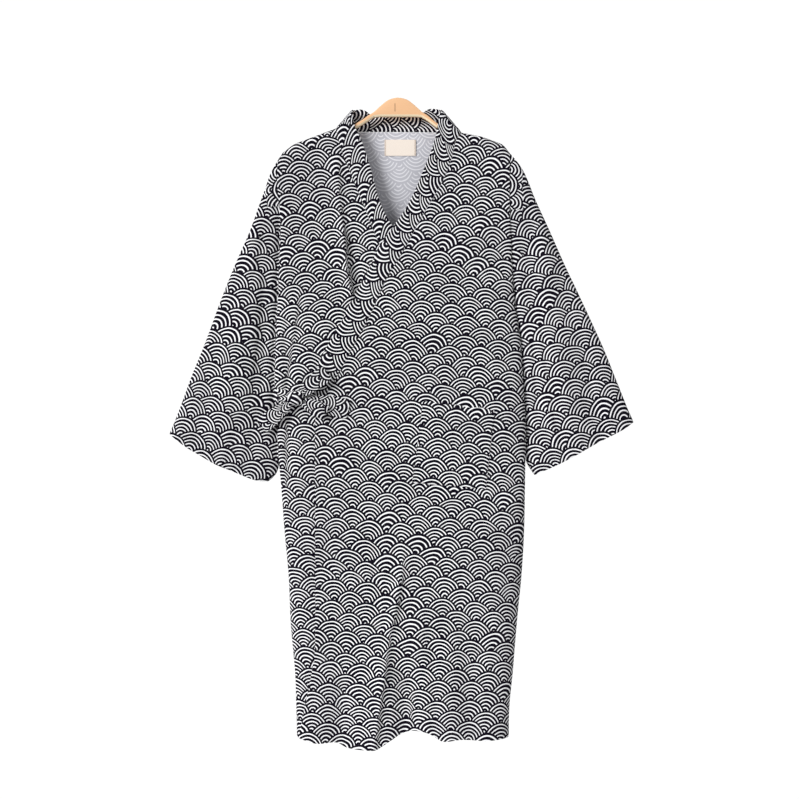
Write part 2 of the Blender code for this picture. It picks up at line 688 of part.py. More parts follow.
def build_hanger():
    """A sawn wooden board with rounded arrises, and the blind hole in its crown for the hook's thread."""
    top, low = [], []
    for sign in (-1, 1):
        rows = [(sign * x, z_top, z_low) for x, z_top, z_low in HANGER]
        if sign > 0:
            rows = [(x, z_top - drop, z_low - drop) for (x, z_top, z_low), drop in zip(rows, SHOULDER_DROP)][1:]
        else:
            rows.reverse()
        top += [(x, z_top) for x, z_top, _ in rows]
        low += [(x, z_low) for x, _, z_low in rows]
    work = bmesh.new()
    front = [work.verts.new((x * MM, -HANGER_THICK / 2 * MM, z * MM)) for x, z in top + low[::-1]]
    back = [work.verts.new((x * MM, HANGER_THICK / 2 * MM, z * MM)) for x, z in top + low[::-1]]
    count = len(top)
    for i in range(count - 1):
        for ring, turned in ((front, False), (back, True)):
            quad = [ring[i], ring[i + 1], ring[2 * count - 2 - i], ring[2 * count - 1 - i]]
            work.faces.new(quad[::-1] if turned else quad)
    for i in range(2 * count):
        k = (i + 1) % (2 * count)
        work.faces.new((front[i], back[i], back[k], front[k]))
    bmesh.ops.recalc_face_normals(work, faces=work.faces)
    mesh = bpy.data.meshes.new("hanger")
    work.to_mesh(mesh)
    work.free()
    mesh.materials.append(material("hanger finish", (0.86, 0.62, 0.42), 0.5))
    hanger = bpy.data.objects.new("hanger", mesh)
    bpy.context.scene.collection.objects.link(hanger)
    rounding = hanger.modifiers.new("Rounded arrises", "BEVEL")
    rounding.width = 2.2 * MM
    rounding.segments = 2
    rounding.limit_method = "ANGLE"
    rounding.angle_limit = math.radians(50)
    bpy.ops.mesh.primitive_cylinder_add(
        vertices=16, radius=HOLE_WIDE / 2 * MM, depth=2 * HOLE_DEEP * MM, location=(0, 0, 0)
    )
    cutter = bpy.context.object
    cutter.name = "hook_hole_cutter"
    cutter.hide_render = True
    cutter.display_type = "WIRE"
    hole = hanger.modifiers.new("Hook hole", "BOOLEAN")
    hole.operation = "DIFFERENCE"
    hole.object = cutter


def main():
    clear_all()
    build_hanger()
    build_back()
    build_right_front()
    build_left_front()
    for side in ("right", "left"):
        build_sleeve(side)
    build_collar()
    build_pocket()
    build_label()
    build_knot()
    for name in LOOPS:
        build_loop(name)
    for name in TAILS:
        build_tail(name)
    for name in BELT_RUNS:
        build_belt_run(name)


main()
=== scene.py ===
# %% [markdown]
# # A short kimono robe on its wooden hanger
#
# The robe is flat-cut cotton: two fronts, a back, two wide sleeves, one long collar band, a patch pocket and
# a belt tied in a bow at the wearer's right side. It hangs on a sawn wooden hanger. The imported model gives
# the frame: every piece here is made in metres about the same origin, the top of the hanger's crown, with +Z
# up, +X to the wearer's left and the front of the robe towards -Y.

import math

import bmesh
import bpy
import numpy as np
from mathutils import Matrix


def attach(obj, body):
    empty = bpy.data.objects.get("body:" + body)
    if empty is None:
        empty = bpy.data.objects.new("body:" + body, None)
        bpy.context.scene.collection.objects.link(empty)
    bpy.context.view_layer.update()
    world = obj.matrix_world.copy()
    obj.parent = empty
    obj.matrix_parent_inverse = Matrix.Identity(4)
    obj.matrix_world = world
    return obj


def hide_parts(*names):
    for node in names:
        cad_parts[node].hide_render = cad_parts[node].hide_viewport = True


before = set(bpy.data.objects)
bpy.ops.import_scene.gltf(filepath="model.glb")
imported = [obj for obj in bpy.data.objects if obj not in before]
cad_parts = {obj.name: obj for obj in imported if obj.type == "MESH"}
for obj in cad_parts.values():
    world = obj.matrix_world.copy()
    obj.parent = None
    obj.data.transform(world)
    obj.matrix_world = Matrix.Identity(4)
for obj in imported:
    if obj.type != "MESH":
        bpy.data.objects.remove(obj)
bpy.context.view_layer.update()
MM = 0.001


def placed(name, data):
    """A new object in the scene for a mesh, a camera or a lamp."""
    made = bpy.data.objects.new(name, data)
    bpy.context.scene.collection.objects.link(made)
    return made


# %% [markdown]
# ## The camera
#
# A product photograph like this one is taken from a few metres away, level with the middle of the garment, so
# the picture is almost an elevation. The scale of the picture is 1.85 mm for each of its 799 pixels, and the
# lens follows from that and from the camera's distance.

# %% The camera
PICTURE_SIDE = 799
PICTURE_SCALE = 1.85 * MM
CROWN_IN_PICTURE = (398, 98)
CAMERA_AWAY = 3.0
SENSOR_WIDE = 36

camera_data = bpy.data.cameras.new("Camera")
camera_data.sensor_width = SENSOR_WIDE
camera_data.lens = SENSOR_WIDE * CAMERA_AWAY / (PICTURE_SIDE * PICTURE_SCALE)
camera = placed("Camera", camera_data)
camera.location = (
    (PICTURE_SIDE / 2 - CROWN_IN_PICTURE[0]) * PICTURE_SCALE,
    -CAMERA_AWAY,
    (CROWN_IN_PICTURE[1] - PICTURE_SIDE / 2) * PICTURE_SCALE,
)
camera.rotation_euler = (math.radians(90), 0, 0)
bpy.context.scene.camera = camera
print("Lens of", round(camera_data.lens, 1), "mm")

# %% [markdown]
# ## Materials as arithmetic
#
# A printed pattern is a formula, and a formula reads best as arithmetic. `Wire` wraps a socket of a node tree
# and overloads the operators, so that `1 - ink` adds a Math node. Every other node comes from its one method
# `node`.


# %% A socket that takes arithmetic
class Wire:
    """A socket in a node tree. Arithmetic on it adds Math nodes."""

    def __init__(self, tree, socket=None):
        self.tree = tree
        self.socket = socket

    def node(self, kind, settings=None, inputs=None, output=0):
        """Any node: its type, its settings, and the values or links of its sockets."""
        made = self.tree.nodes.new(kind)
        for name, value in (settings or {}).items():
            setattr(made, name, value)
        for key, value in (inputs or {}).items():
            if isinstance(value, Wire):
                self.tree.links.new(value.socket, made.inputs[key])
            else:
                made.inputs[key].default_value = value
        return Wire(self.tree, made.outputs[output])

    def maths(self, operation, *values):
        return self.node("ShaderNodeMath", {"operation": operation}, dict(enumerate(values)))

    def __add__(self, other):
        return self.maths("ADD", self, other)

    def __radd__(self, other):
        return self.maths("ADD", other, self)

    def __sub__(self, other):
        return self.maths("SUBTRACT", self, other)

    def __rsub__(self, other):
        return self.maths("SUBTRACT", other, self)

    def __mul__(self, other):
        return self.maths("MULTIPLY", self, other)

    def __rmul__(self, other):
        return self.maths("MULTIPLY", other, self)

    def __truediv__(self, other):
        return self.maths("DIVIDE", self, other)

    def __lt__(self, other):
        return self.maths("LESS_THAN", self, other)

    def clamped(self):
        return self.node("ShaderNodeClamp", None, {"Value": self})

    def split(self):
        """The x, y and z of a vector or colour."""
        parts = self.tree.nodes.new("ShaderNodeSeparateXYZ")
        self.tree.links.new(self.socket, parts.inputs[0])
        return [Wire(self.tree, parts.outputs[number]) for number in range(3)]

    def mix(self, first, second):
        """The first colour where this is 0 and the second where it is 1."""
        inputs = {0: self, 6: first, 7: second}
        return self.node("ShaderNodeMix", {"data_type": "RGBA"}, inputs, output=2)


def new_finish(name):
    """An empty material: its start for arithmetic, and its shader node."""
    made = bpy.data.materials.new(name)
    made.use_nodes = True
    return made, Wire(made.node_tree), made.node_tree.nodes["Principled BSDF"]


def relief(start, height, strength, distance):
    """Small heights of a surface, as a change of its normal."""
    inputs = {"Height": height, "Strength": strength, "Distance": distance}
    return start.node("ShaderNodeBump", None, inputs)


def on_piece(start):
    """Places in metres on the piece itself."""
    return start.node("ShaderNodeTexCoord", None, None, output=3)


def feed(start, shader, **sockets):
    """Links wires to a shader's sockets; a socket's name is written with _ for its spaces."""
    for name, wire in sockets.items():
        start.tree.links.new(wire.socket, shader.inputs[name.replace("_", " ")])


print("Shader arithmetic is ready")

# %% [markdown]
# ## The wave print
#
# The cotton carries the old seigaiha design: rows of overlapping scales, each a nest of arcs. It is drawn
# here from its rule. At any point the scale that shows is the one of the lowest row that covers it, so three
# rows are tried from the top one down and each paints over those before. Every scale draws its own size,
# place, number of arcs and line weight from a hash of its number, which gives the look of a pattern cut by
# hand.
#
# The print lies on the piece's own UV map, whose unit is a metre of cloth, so that it follows the folds.

# %% The wave print as a formula
SCALE_STEP = 60.5 * MM
ROW_STEP = 18.7 * MM
SCALE_HIGH = 2 * ROW_STEP
SCALE_NARROW = SCALE_HIGH / (SCALE_STEP / 2)
RING_COUNT = 5.5
LINE_SHARE = 0.33
LINE_BLUR = 0.2 * MM
BLACK_EDGE = 1.5 * MM
HEART_WIDE = 1.1 * MM
HEART_LOW = -0.9 * MM
HEART_WEDGE = 0.35
ROWS_TRIED = 3
ROW_EARLY = 0.14
DRIFT_SIZE = 45 * MM
DRIFT_REACH = 2.6 * MM
WOBBLE_SIZE = 14 * MM
WOBBLE_REACH = 0.6 * MM
SIDE_SCATTER = 5 * MM
RISE_SCATTER = 2.4 * MM
HEIGHT_SCATTER = 2 * MM
LEAN_SCATTER = 0.3
WIDTH_SCATTER = 0.1
WEIGHT_DRIFT = 0.06
WEIGHT_SCATTER = 0.04
FEWER_RINGS = 0.12
HASH_PLANE = 3.7


def hand_drift(start, place, size, reach, detail=1.0):
    """A smooth wander of a pattern's coordinates, in two directions."""
    settings = {"noise_dimensions": "2D"}
    inputs = {"Vector": place, "Scale": 1 / size, "Detail": detail}
    drift = start.node("ShaderNodeTexNoise", settings, inputs, output=1).split()
    return (drift[0] - 0.5) * (2 * reach), (drift[1] - 0.5) * (2 * reach)


def wave_print(start):
    """How much of the light ink lies at a point: 1 on an arc and 0 on the ground."""
    place = start.node("ShaderNodeUVMap", {"uv_map": "cloth"})
    across, up, _ = place.split()
    drift_across, drift_up = hand_drift(start, place, DRIFT_SIZE, DRIFT_REACH)
    across = across + drift_across
    up = up + drift_up
    wobble, weight = hand_drift(start, place, WOBBLE_SIZE, 1.0)
    top_row = start.maths("FLOOR", up / ROW_STEP + ROW_EARLY)
    ink = 0.0
    for below in range(ROWS_TRIED):
        row = top_row - below
        shift = row.maths("FLOORED_MODULO", row, 2) * (SCALE_STEP / 2)
        column = row.maths("ROUND", (across - shift) / SCALE_STEP)
        number = start.node("ShaderNodeCombineXYZ", None, {0: column, 1: row + 0.5, 2: HASH_PLANE})
        dice = start.node("ShaderNodeTexWhiteNoise", None, {0: number}, output=1).split()
        side = across - shift - column * SCALE_STEP - (dice[0] - 0.5) * SIDE_SCATTER
        rise = up - row * ROW_STEP - (dice[1] - 0.5) * RISE_SCATTER
        lean = side + rise * ((dice[2] - 0.5) * LEAN_SCATTER)
        narrow = SCALE_NARROW + (dice[0] - 0.5) * WIDTH_SCATTER
        away = start.maths("SQRT", lean * narrow * (lean * narrow) + rise * rise)
        away = away + wobble * WOBBLE_REACH
        away = start.maths("MAXIMUM", away - HEART_WIDE, 0.0)
        high = SCALE_HIGH - HEART_WIDE + (dice[1] - 0.5) * HEIGHT_SCATTER
        inside = ((high + BLACK_EDGE - away) / LINE_BLUR + 0.5).clamped()
        rings = RING_COUNT - (dice[2] < FEWER_RINGS)
        turn = (high - away) * rings / high
        from_line = start.maths("ABSOLUTE", turn.maths("FRACT", turn) - 0.5)
        share = LINE_SHARE + weight * WEIGHT_DRIFT + (dice[0] - 0.5) * WEIGHT_SCATTER
        line = ((share / 2 - from_line) * (high / rings / LINE_BLUR) + 0.5).clamped()
        foot = rise - start.maths("ABSOLUTE", lean) * HEART_WEDGE - HEART_LOW
        line = line * (foot / LINE_BLUR + 0.5).clamped()
        ink = ink * (1 - inside) + line * inside
    return place, ink


print("Scales of", round(SCALE_STEP / MM, 1), "mm in rows", round(ROW_STEP / MM, 1), "mm apart")

# %% [markdown]
# ## Printed cotton, its wrong side, and plain tape
#
# Cotton printed by screen is matt, with a plain weave of about 20 threads to the centimetre. The light lines
# are the cloth itself, and the near-black ground is ink that has sunk in. On the wrong side the ink shows
# through only as a grey shadow, so the same formula is used with paler colours. Thread relief is a small
# bump.

# %% The cotton finishes
THREAD_STEP = 0.55 * MM
GROUND_INK = (0.0038, 0.0028, 0.0080, 1)
PLAIN_COTTON = (0.93, 0.93, 0.95, 1)
SHADOW_INK = (0.52, 0.52, 0.57, 1)
PALE_COTTON = (0.76, 0.76, 0.80, 1)
THREAD_SHADE = 0.06
STAIN_SIZE = 90 * MM
STAIN_REACH = 0.05


def plain_weave(start, across, up, step):
    """Threads over and under: a height from 0 to 1."""
    over = start.maths("SINE", across * (math.pi / step))
    under = start.maths("SINE", up * (math.pi / step))
    return over * under * 0.5 + 0.5


def cotton(name, ground, line, roughness):
    """Printed cloth, with the ground's and the line's colour."""
    made, start, shader = new_finish(name)
    place, ink = wave_print(start)
    across, up, _ = place.split()
    weave = plain_weave(start, across, up, THREAD_STEP)
    stain, _ = hand_drift(start, place, STAIN_SIZE, STAIN_REACH, detail=3.0)
    colour = ink.mix(ground, line)
    shade = (1 - weave * THREAD_SHADE + stain).clamped()
    grey = start.node("ShaderNodeCombineXYZ", None, {0: shade, 1: shade, 2: shade})
    settings = {"data_type": "RGBA", "blend_type": "MULTIPLY"}
    worn = start.node("ShaderNodeMix", settings, {0: 1.0, 6: colour, 7: grey}, output=2)
    threads = relief(start, weave, 0.25, 0.12 * MM)
    feed(start, shader, Base_Color=worn, Roughness=roughness - ink * 0.06, Normal=threads)
    shader.inputs["Specular IOR Level"].default_value = 0.08
    return made


PRINTED = cotton("Printed cotton", GROUND_INK, PLAIN_COTTON, 0.9)
WRONG_SIDE = cotton("Wrong side of the cotton", SHADOW_INK, PALE_COTTON, 0.95)
print("Finishes:", PRINTED.name, "and", WRONG_SIDE.name)


# %% The label's tape and the sewing thread
TAPE_FOLD = 1.0 * MM
TAPE_FOLD_WIDE = 0.9 * MM
PAINTED_FOLD_SHADOW = (0.34, 0.21, 0.13, 1)


def tape(name, colour, step, ends=None):
    """Plain woven tape or thread, with a slight unevenness, and a painted fold shadow at both its ends."""
    made, start, shader = new_finish(name)
    place = on_piece(start)
    across, _, up = place.split()
    weave = plain_weave(start, across, up, step)
    dark = [part * 0.86 for part in colour[:3]] + [1]
    shade = weave.mix(dark, colour)
    if ends:
        middle, reach = (ends[0] + ends[1]) / 2 * MM, (ends[1] - ends[0]) / 2 * MM
        from_end = reach - start.maths("ABSOLUTE", across - middle)
        # Painted shadow: a brown line 1 mm in from each end stands for the shade of a folded end on the flat
        # tape
        fold = (1 - start.maths("ABSOLUTE", from_end - TAPE_FOLD) / TAPE_FOLD_WIDE).clamped() * 0.6
        shade = fold.mix(shade, PAINTED_FOLD_SHADOW)
    threads = relief(start, weave, 0.3, 0.1 * MM)
    feed(start, shader, Base_Color=shade, Roughness=0.9 - weave * 0.1, Normal=threads)
    shader.inputs["Specular IOR Level"].default_value = 0.3
    return made


LABEL = (-25, 33, -75, -105)
LABEL_TAPE = tape("Cream label tape", (0.93, 0.83, 0.74, 1), 0.4 * MM, ends=LABEL[:2])
BLACK_THREAD = tape("Black sewing thread", (0.012, 0.011, 0.015, 1), 0.3 * MM)
BROWN_THREAD = tape("Brown sewing thread", (0.24, 0.15, 0.09, 1), 0.3 * MM)
print("Finishes:", LABEL_TAPE.name, "and two threads")

# %% [markdown]
# ## The robe's cut, in tables
#
# Each edge of the hanging robe is a short table of places in millimetres. The `left` and `right` are the
# wearer's, and `OUTWARDS` is the way along x to each of them. These are the same edges as in the solids, so
# that each shell lies on the solid that it stands for.

# %% Edges of the hanging robe, in millimetres
OUTWARDS = {"right": -1, "left": 1}
RIDGE = (
    (-212, -101), (-192, -86), (-150, -70), (-115, -57), (-85, -22.5), (-67, 11), (0, 33),
    (56, 11), (81.5, -22.5), (118, -65), (154, -72), (192, -86), (207, -103),
)
ARMHOLE = {
    "right": (
        (-212, -101), (-222, -122), (-223, -161), (-218, -202), (-216, -250), (-219, -310), (-221, -361),
    ),
    "left": ((207, -103), (206, -152), (206, -205), (208, -263), (213, -355)),
}
SIDE = {
    "right": (
        (-221, -361), (-226, -457), (-228, -549), (-224, -596), (-220, -670), (-216, -714), (-210, -796),
        (-202, -884), (-198, -973), (-190, -1062), (-188, -1121), (-186, -1181),
    ),
    "left": (
        (213, -355), (217, -392), (226, -448), (232, -540), (236, -614), (235, -679), (233, -799),
        (228, -884), (222, -944), (216, -1012), (212, -1062), (206, -1121), (204, -1180),
    ),
}
SLEEVE_TOP = {
    "right": (
        (-212, -101), (-229, -130), (-240, -159), (-252, -189), (-274, -248), (-300, -307), (-324, -366),
        (-357, -455), (-381, -514), (-403, -574), (-422, -622),
    ),
    "left": (
        (207, -103), (228, -130), (242, -159), (254, -189), (281, -248), (307, -307), (335, -366),
        (376, -455), (400, -514), (424, -574), (435, -600),
    ),
}
CUFF = {
    "right": (
        (-422, -622), (-392, -645), (-363, -662), (-337, -677), (-303, -691), (-266, -706), (-241, -709),
    ),
    "left": ((435, -600), (411, -616), (364, -640), (307, -672), (253, -697)),
}
SLEEVE_SEAM = {
    "right": (
        (-221, -361), (-222, -375), (-226, -457), (-228, -549), (-224, -600), (-220, -666), (-225, -693),
        (-241, -709),
    ),
    "left": (
        (213, -355), (214.8, -370), (219.4, -405), (226.2, -448), (232.2, -540), (236.2, -614), (236.5, -668),
        (253, -697),
    ),
}
BAND_SEAM = {
    "left": (
        (118, -65), (107, -80), (102, -102), (97, -120), (89, -141), (76, -168), (58, -198), (38, -233),
        (9, -287), (-20, -334), (-44, -388), (-64, -429), (-86, -468), (-109, -511), (-130, -546),
        (-148, -579),
    ),
    "right": (
        (-115, -57), (-105, -96), (-92, -130), (-79, -163), (-63, -200), (-48, -240), (-31, -278), (-9, -311),
        (15, -346), (43, -392), (70, -437), (96, -481), (118, -518), (139, -555), (155, -583),
    ),
}
BAND_FREE = {
    "left": (
        (81.5, -22.5), (75, -42), (71, -67), (61, -100), (48, -133), (27, -183), (6, -220), (-9, -240),
        (-35, -280), (-57, -326), (-80, -364), (-99, -406), (-121, -444), (-140, -481), (-152, -511),
        (-153, -540), (-152, -572),
    ),
    "right": (
        (-85, -22.5), (-80, -54), (-70, -74), (-60, -102), (-48, -141), (-37, -183), (-24, -215), (-9, -240),
        (17, -272), (43, -303), (65, -337), (89, -377), (113, -418), (133, -457), (151, -488), (161, -518),
        (161, -549), (159, -577),
    ),
}
NECK_SEAM = ((-115, -57), (-104, -60), (-76, -61), (0, -61), (76, -62), (105, -64), (118, -65))
NECK_FREE = (
    (-85, -22.5), (-79, -19), (-69, -18), (-60, -21), (-52, -27), (-40, -31), (0, -32),
    (36, -31), (45, -26), (52, -20), (62, -16.5), (74, -18), (81.5, -22.5),
)
FRONT_EDGE = {
    "left": (
        (-148, -579), (-152, -600), (-152, -744), (-152, -1003), (-156, -1045), (-165, -1093), (-183, -1180),
    ),
    "right": ((155, -583), (159, -610), (160, -1003), (168, -1180)),
}
HEM = (
    (-186, -1181), (-150, -1190), (-115, -1188), (-94, -1197), (-70, -1200), (-41, -1199), (-18, -1186),
    (6, -1171), (24, -1166), (47, -1167), (65, -1174), (83, -1184), (115, -1181), (156, -1184), (179, -1183),
    (204, -1180),
)
print("The hem hangs", -HEM[4][1], "mm below the crown")

# %% [markdown]
# ## Folds and creases
#
# Cloth that hangs from two shoulders pulls into a few soft folds: one runs down from each side of the neck,
# some pleat at the waist where the belt gathers it, and the hem waves. Each is a row with its two ends, its
# width and how far it stands out of the cloth, negative for a trough. The broad ones are in the solids too.
# The creases are finer and uneven, as pressed cotton keeps them.

# %% Tables of folds: x and z at both ends, width, height, all in millimetres
FRONT_FOLDS = (
    (-113, -124, -98, -253, 26, 3.0),
    (-98, -253, -85, -359, 26, 4.0),
    (-92, -290, -60, -360, 24, -3.0),
    (-204, -430, -206, -540, 18, -4.0),
    (-203, -600, -206, -700, 18, -4.0),
    (16, -850, -28, -1058, 34, 4.0),
    (-28, -1058, -44, -1210, 44, 7.0),
    (24, -1080, 24, -1210, 44, -6.0),
    (96, -1020, 108, -1210, 44, 4.0),
    (-100, -1080, -108, -1210, 36, -4.0),
    (60, -330, 150, -250, 60, 2.5),
    (-40, -640, 90, -600, 70, 2.5),
)
BACK_FOLDS = (
    (-130, -420, -118, -1210, 60, 4.0),
    (-40, -700, -52, -1210, 44, -5.0),
    (34, -600, 26, -1210, 52, 5.0),
    (112, -760, 124, -1210, 46, -5.0),
    (-90, -170, 60, -250, 70, 2.5),
)
SLEEVE_FOLDS = (
    (-236, -180, -262, -640, 34, -3.0),
    (-262, -260, -330, -650, 50, 3.5),
    (-300, -330, -372, -620, 40, -2.5),
)
FRONT_CREASES = (
    (-108, -150, -97, -262, 9, 1.6),
    (-97, -262, -84, -362, 8, 2.2),
    (-84, -296, -62, -342, 13, -2.0),
    (-196, -452, -206, -530, 9, -2.2),
    (-186, -470, -192, -545, 12, 1.6),
    (-200, -600, -206, -690, 9, -2.0),
    (-188, -610, -190, -720, 14, 1.4),
    (13, -855, 2, -890, 9, 1.8),
    (2, -890, -6, -935, 8, 2.4),
    (-6, -935, -13, -968, 9, 2.0),
    (-13, -968, -24, -1052, 10, 1.6),
    (-24, -1052, -34, -1130, 9, 2.2),
    (-34, -1130, -43, -1205, 10, 2.4),
    (26, -1092, 22, -1168, 11, 1.8),
    (140, -120, 178, -190, 18, 1.2),
    (120, -430, 198, -392, 20, 1.3),
    (150, -330, 196, -300, 14, -1.2),
    (-170, -170, -132, -250, 16, 1.2),
    (-196, -260, -150, -300, 14, -1.2),
    (60, -860, 150, -820, 30, 1.2),
    (186, -700, 196, -860, 16, -1.8),
    (-120, -760, -70, -800, 26, 1.2),
    (-96, -930, -88, -1060, 18, 1.4),
    (-34, -1070, -44, -1210, 44, -3.0),
    (36, -960, 40, -1170, 40, 3.6),
    (62, -980, 68, -1180, 22, -2.0),
)
BACK_CREASES = (
    (-150, -150, -96, -236, 18, 1.4),
    (146, -158, 104, -240, 16, 1.6),
    (-60, -300, 40, -336, 24, 1.2),
    (-170, -430, -110, -470, 20, -1.4),
    (176, -520, 120, -556, 22, 1.3),
    (-186, -560, -150, -700, 16, 1.8),
    (80, -640, 96, -820, 18, 1.6),
    (-92, -700, -78, -930, 16, -1.6),
    (6, -760, 14, -980, 14, 1.5),
    (150, -900, 158, -1130, 18, 1.8),
    (-140, -960, -146, -1180, 16, 1.7),
    (60, -1020, 66, -1190, 14, -1.6),
)
SLEEVE_CREASES = {
    "right": (
        (-246, -250, -262, -330, 12, -1.6),
        (-258, -330, -270, -452, 13, 1.5),
        (-244, -430, -252, -560, 10, -1.8),
        (-300, -400, -330, -500, 16, 1.2),
        (-268, -560, -290, -680, 14, 1.6),
        (-340, -540, -372, -636, 15, -1.4),
        (-310, -600, -326, -676, 12, 1.3),
    ),
    "left": (
        (250, -240, 268, -322, 12, -1.4),
        (262, -340, 280, -470, 15, 1.6),
        (250, -450, 258, -590, 10, -1.7),
        (316, -420, 344, -520, 18, 1.3),
        (274, -570, 300, -668, 13, 1.5),
        (352, -520, 384, -620, 15, -1.3),
        (296, -480, 312, -560, 12, 1.1),
    ),
}
# Tucks: the places of a fold's line, how much cloth it hides, and how far its far side drops
FRONT_TUCKS = (
    (
        (-106, -93, 2, 1.0), (-108.6, -144, 4, 2.0), (-107.7, -183, 6, 3.0), (-103, -214, 8, 4.0),
        (-98, -253, 10, 6.5), (-94, -295, 12, 9.0), (-89, -336, 13, 10.0), (-84, -361, 11, 8.0),
        (-80, -392, 0, 0),
    ),
    (
        (12, -815, 0, 0), (10.5, -845, 4, 1.8), (9, -870, 6, 2.8), (5.6, -908, 8, 3.6), (-1, -945, 7, 3.6),
        (-13, -984, 5, 3.0), (-20, -1040, 4, 2.8), (-31, -1114, 4, 3.2), (-41, -1200, 5, 3.6),
    ),
    (
        (-179, -345, 0, 0), (-184, -385, 5, 1.8), (-193, -450, 8, 2.8), (-203, -505, 9, 3.2),
        (-211, -545, 6, 2.0),
    ),
    (
        (-205, -575, 4, 1), (-205.5, -610, 9, 2.8), (-207, -670, 9, 2.4), (-205, -740, 4, 1.0),
        (-202, -780, 0, 0),
    ),
    ((27, -1085, 0, 0), (24, -1110, 4, 1.4), (23, -1170, 5, 2.0)),
    ((20, -310, 0, 0), (44, -336, 2, 0.9), (86, -372, 0, 0)),
)
BACK_TUCKS = (
    ((-118, -150, 0, 0), (-104, -230, 6, 1.8), (-96, -320, 7, 2.4), (-92, -420, 0, 0)),
    ((122, -150, 0, 0), (108, -240, 6, 2.0), (104, -330, 5, 1.8), (102, -380, 0, 0)),
    ((-34, -820, 0, 0), (-38, -900, 5, 2.0), (-46, -1060, 6, 2.6), (-54, -1205, 7, 3.0)),
    ((74, -900, 0, 0), (78, -1010, 5, 2.2), (80, -1205, 5, 2.6)),
    ((-190, -520, 0, 0), (-186, -590, 5, 2.2), (-180, -680, 0, 0)),
)
SLEEVE_TUCKS = {
    "right": (
        (
            (-248, -330, 0, 0), (-254, -400, 3, 1.6), (-266, -500, 4, 2.0), (-282, -600, 3, 1.4),
            (-290, -700, 2, 1),
        ),
    ),
    "left": (
        ((250, -300, 0, 0), (258, -380, 3, 1.6), (268, -480, 4, 2.0), (284, -580, 3, 1.4), (300, -690, 2, 1)),
    ),
}
print(len(FRONT_CREASES + BACK_CREASES), "creases and", len(FRONT_TUCKS + BACK_TUCKS), "tucks on the body")

# %% [markdown]
# ## Curves, patches and depth
#
# A panel is a patch between its four edges, which gives each of its points an x and a z. Its depth comes from
# one formula for the whole body: a flattened oval across, a turn over the shoulder, and the folds on top.

# %% Sizes that the cloth's form follows, in millimetres
# Rows of a height, the front's half depth there, what the lap adds to it, and the back's half depth
HALF_DEPTH = (
    (0, 10, 0, 19), (-57, 10, 0, 15), (-110, 11, 0, 15), (-200, 12.5, 3.5, 16), (-240, 13.5, 4.5, 17),
    (-400, 17.5, 4.5, 19), (-560, 19.5, 4.5, 21), (-900, 23.5, 6, 25), (-1200, 27.5, 6.5, 28),
)
CLOTH = 1.5
SHELL = 1.2
BAND_SHELL = 2.0
TRIM_SHELL = 0.8
SEAM_GAP = 0.3
BAND_GAP = 0.5
LAID_ON = 0.6
ARMHOLE_DEPTH = 12.0
CUFF_DEPTH = 14.0
SHOULDER_TURN = 10.0
SIDE_FLATNESS = 3.0
BOXY_FLATNESS = 6.0
BOXY_DOWN_TO = -780.0
BOXY_BLEND = 80.0
LAP_REACH = 0.12
ARMPIT_CLEAR = 3.0
WAVE_START = -190
WAVE_LONG = 118
WAVE_HIGH = 3.5
WAVE_REACH = 320
HEM_LEVEL = 1200
MESH_STEP = 4.0
TUCK_EDGE = 1.6
TUCK_NEAR = 12.0
TUCK_FAR = 20.0
TUCK_END = 12.0
TUCK_RISE = 0.4
BUMPS_BROAD = 0.55
BUMPS_FINE = 0.18
EDGE_POWER = 6
SPLINE_STEPS = 8
SHOULDER_ROWS = 9
print("Shells are", SHELL, "mm thick on points", MESH_STEP, "mm apart")


# %% Smooth curves through the tables
def running(steps):
    """The running total of some steps, from 0."""
    return np.concatenate([[0], np.cumsum(steps)])


def distances(points):
    """How far along a line of points each of them lies."""
    return running(np.linalg.norm(np.diff(points, axis=0), axis=1))


def together(*parts):
    """Points from their coordinates, each of them broadcast to the shape of all."""
    return np.stack(np.broadcast_arrays(*parts), axis=-1)


def smooth_path(points):
    """A smooth curve through points, as a function of the share of its length, and that length."""
    knots = np.array(points, float)
    ends = np.vstack([2 * knots[0] - knots[1], knots, 2 * knots[-1] - knots[-2]])
    steps = (np.arange(SPLINE_STEPS) / SPLINE_STEPS)[:, None]
    fine = []
    for a, b, c, d in zip(ends, ends[1:], ends[2:], ends[3:]):
        cubic = (3 * b - a - 3 * c + d) * steps**3 + (2 * a - 5 * b + 4 * c - d) * steps**2
        fine.append((2 * b + (c - a) * steps + cubic) / 2)
    fine = np.vstack([*fine, knots[-1:]])
    run = distances(fine)

    def at(share):
        place = np.asarray(share, float) * run[-1]
        return np.stack([np.interp(place, run, column) for column in fine.T], axis=-1)

    return at, run[-1]


def joined_path(*tables):
    """One curve through several tables, each smooth in itself, with a corner where two of them meet."""
    parts = [smooth_path(table) for table in tables]
    starts = running([length for _, length in parts])

    def at(share):
        place = np.asarray(share, float) * starts[-1]
        found = np.empty(place.shape + (2,))
        for (curve, length), start in zip(parts, starts):
            here = place >= start - 1e-9
            found[here] = curve(np.clip((place[here] - start) / length, 0, 1))
        return found

    return at, starts[-1]


def patch(left, right, top, bottom, across, down):
    """The points of a panel between its four edges, at the shares across and down."""
    u = np.array(across, float)[None, :, None]
    v = np.array(down, float)[:, None, None]
    up, low = top(across)[None], bottom(across)[None]
    first, last = left(down)[:, None], right(down)[:, None]
    corners = (1 - v) * ((1 - u) * up[:, :1] + u * up[:, -1:]) + v * ((1 - u) * low[:, :1] + u * low[:, -1:])
    return (1 - v) * up + v * low + (1 - u) * first + u * last - corners


print("The front edge is", round(smooth_path(FRONT_EDGE["left"])[1]), "mm long below the band")


# %% The depth of the body at any height and width
def side_x(side, z):
    """The x of the body's edge at a height: the armhole above the armpit, the side seam below it."""
    line = np.array(ARMHOLE[side] + SIDE[side][1:], float)
    return np.interp(-z, -line[:, 1], line[:, 0])


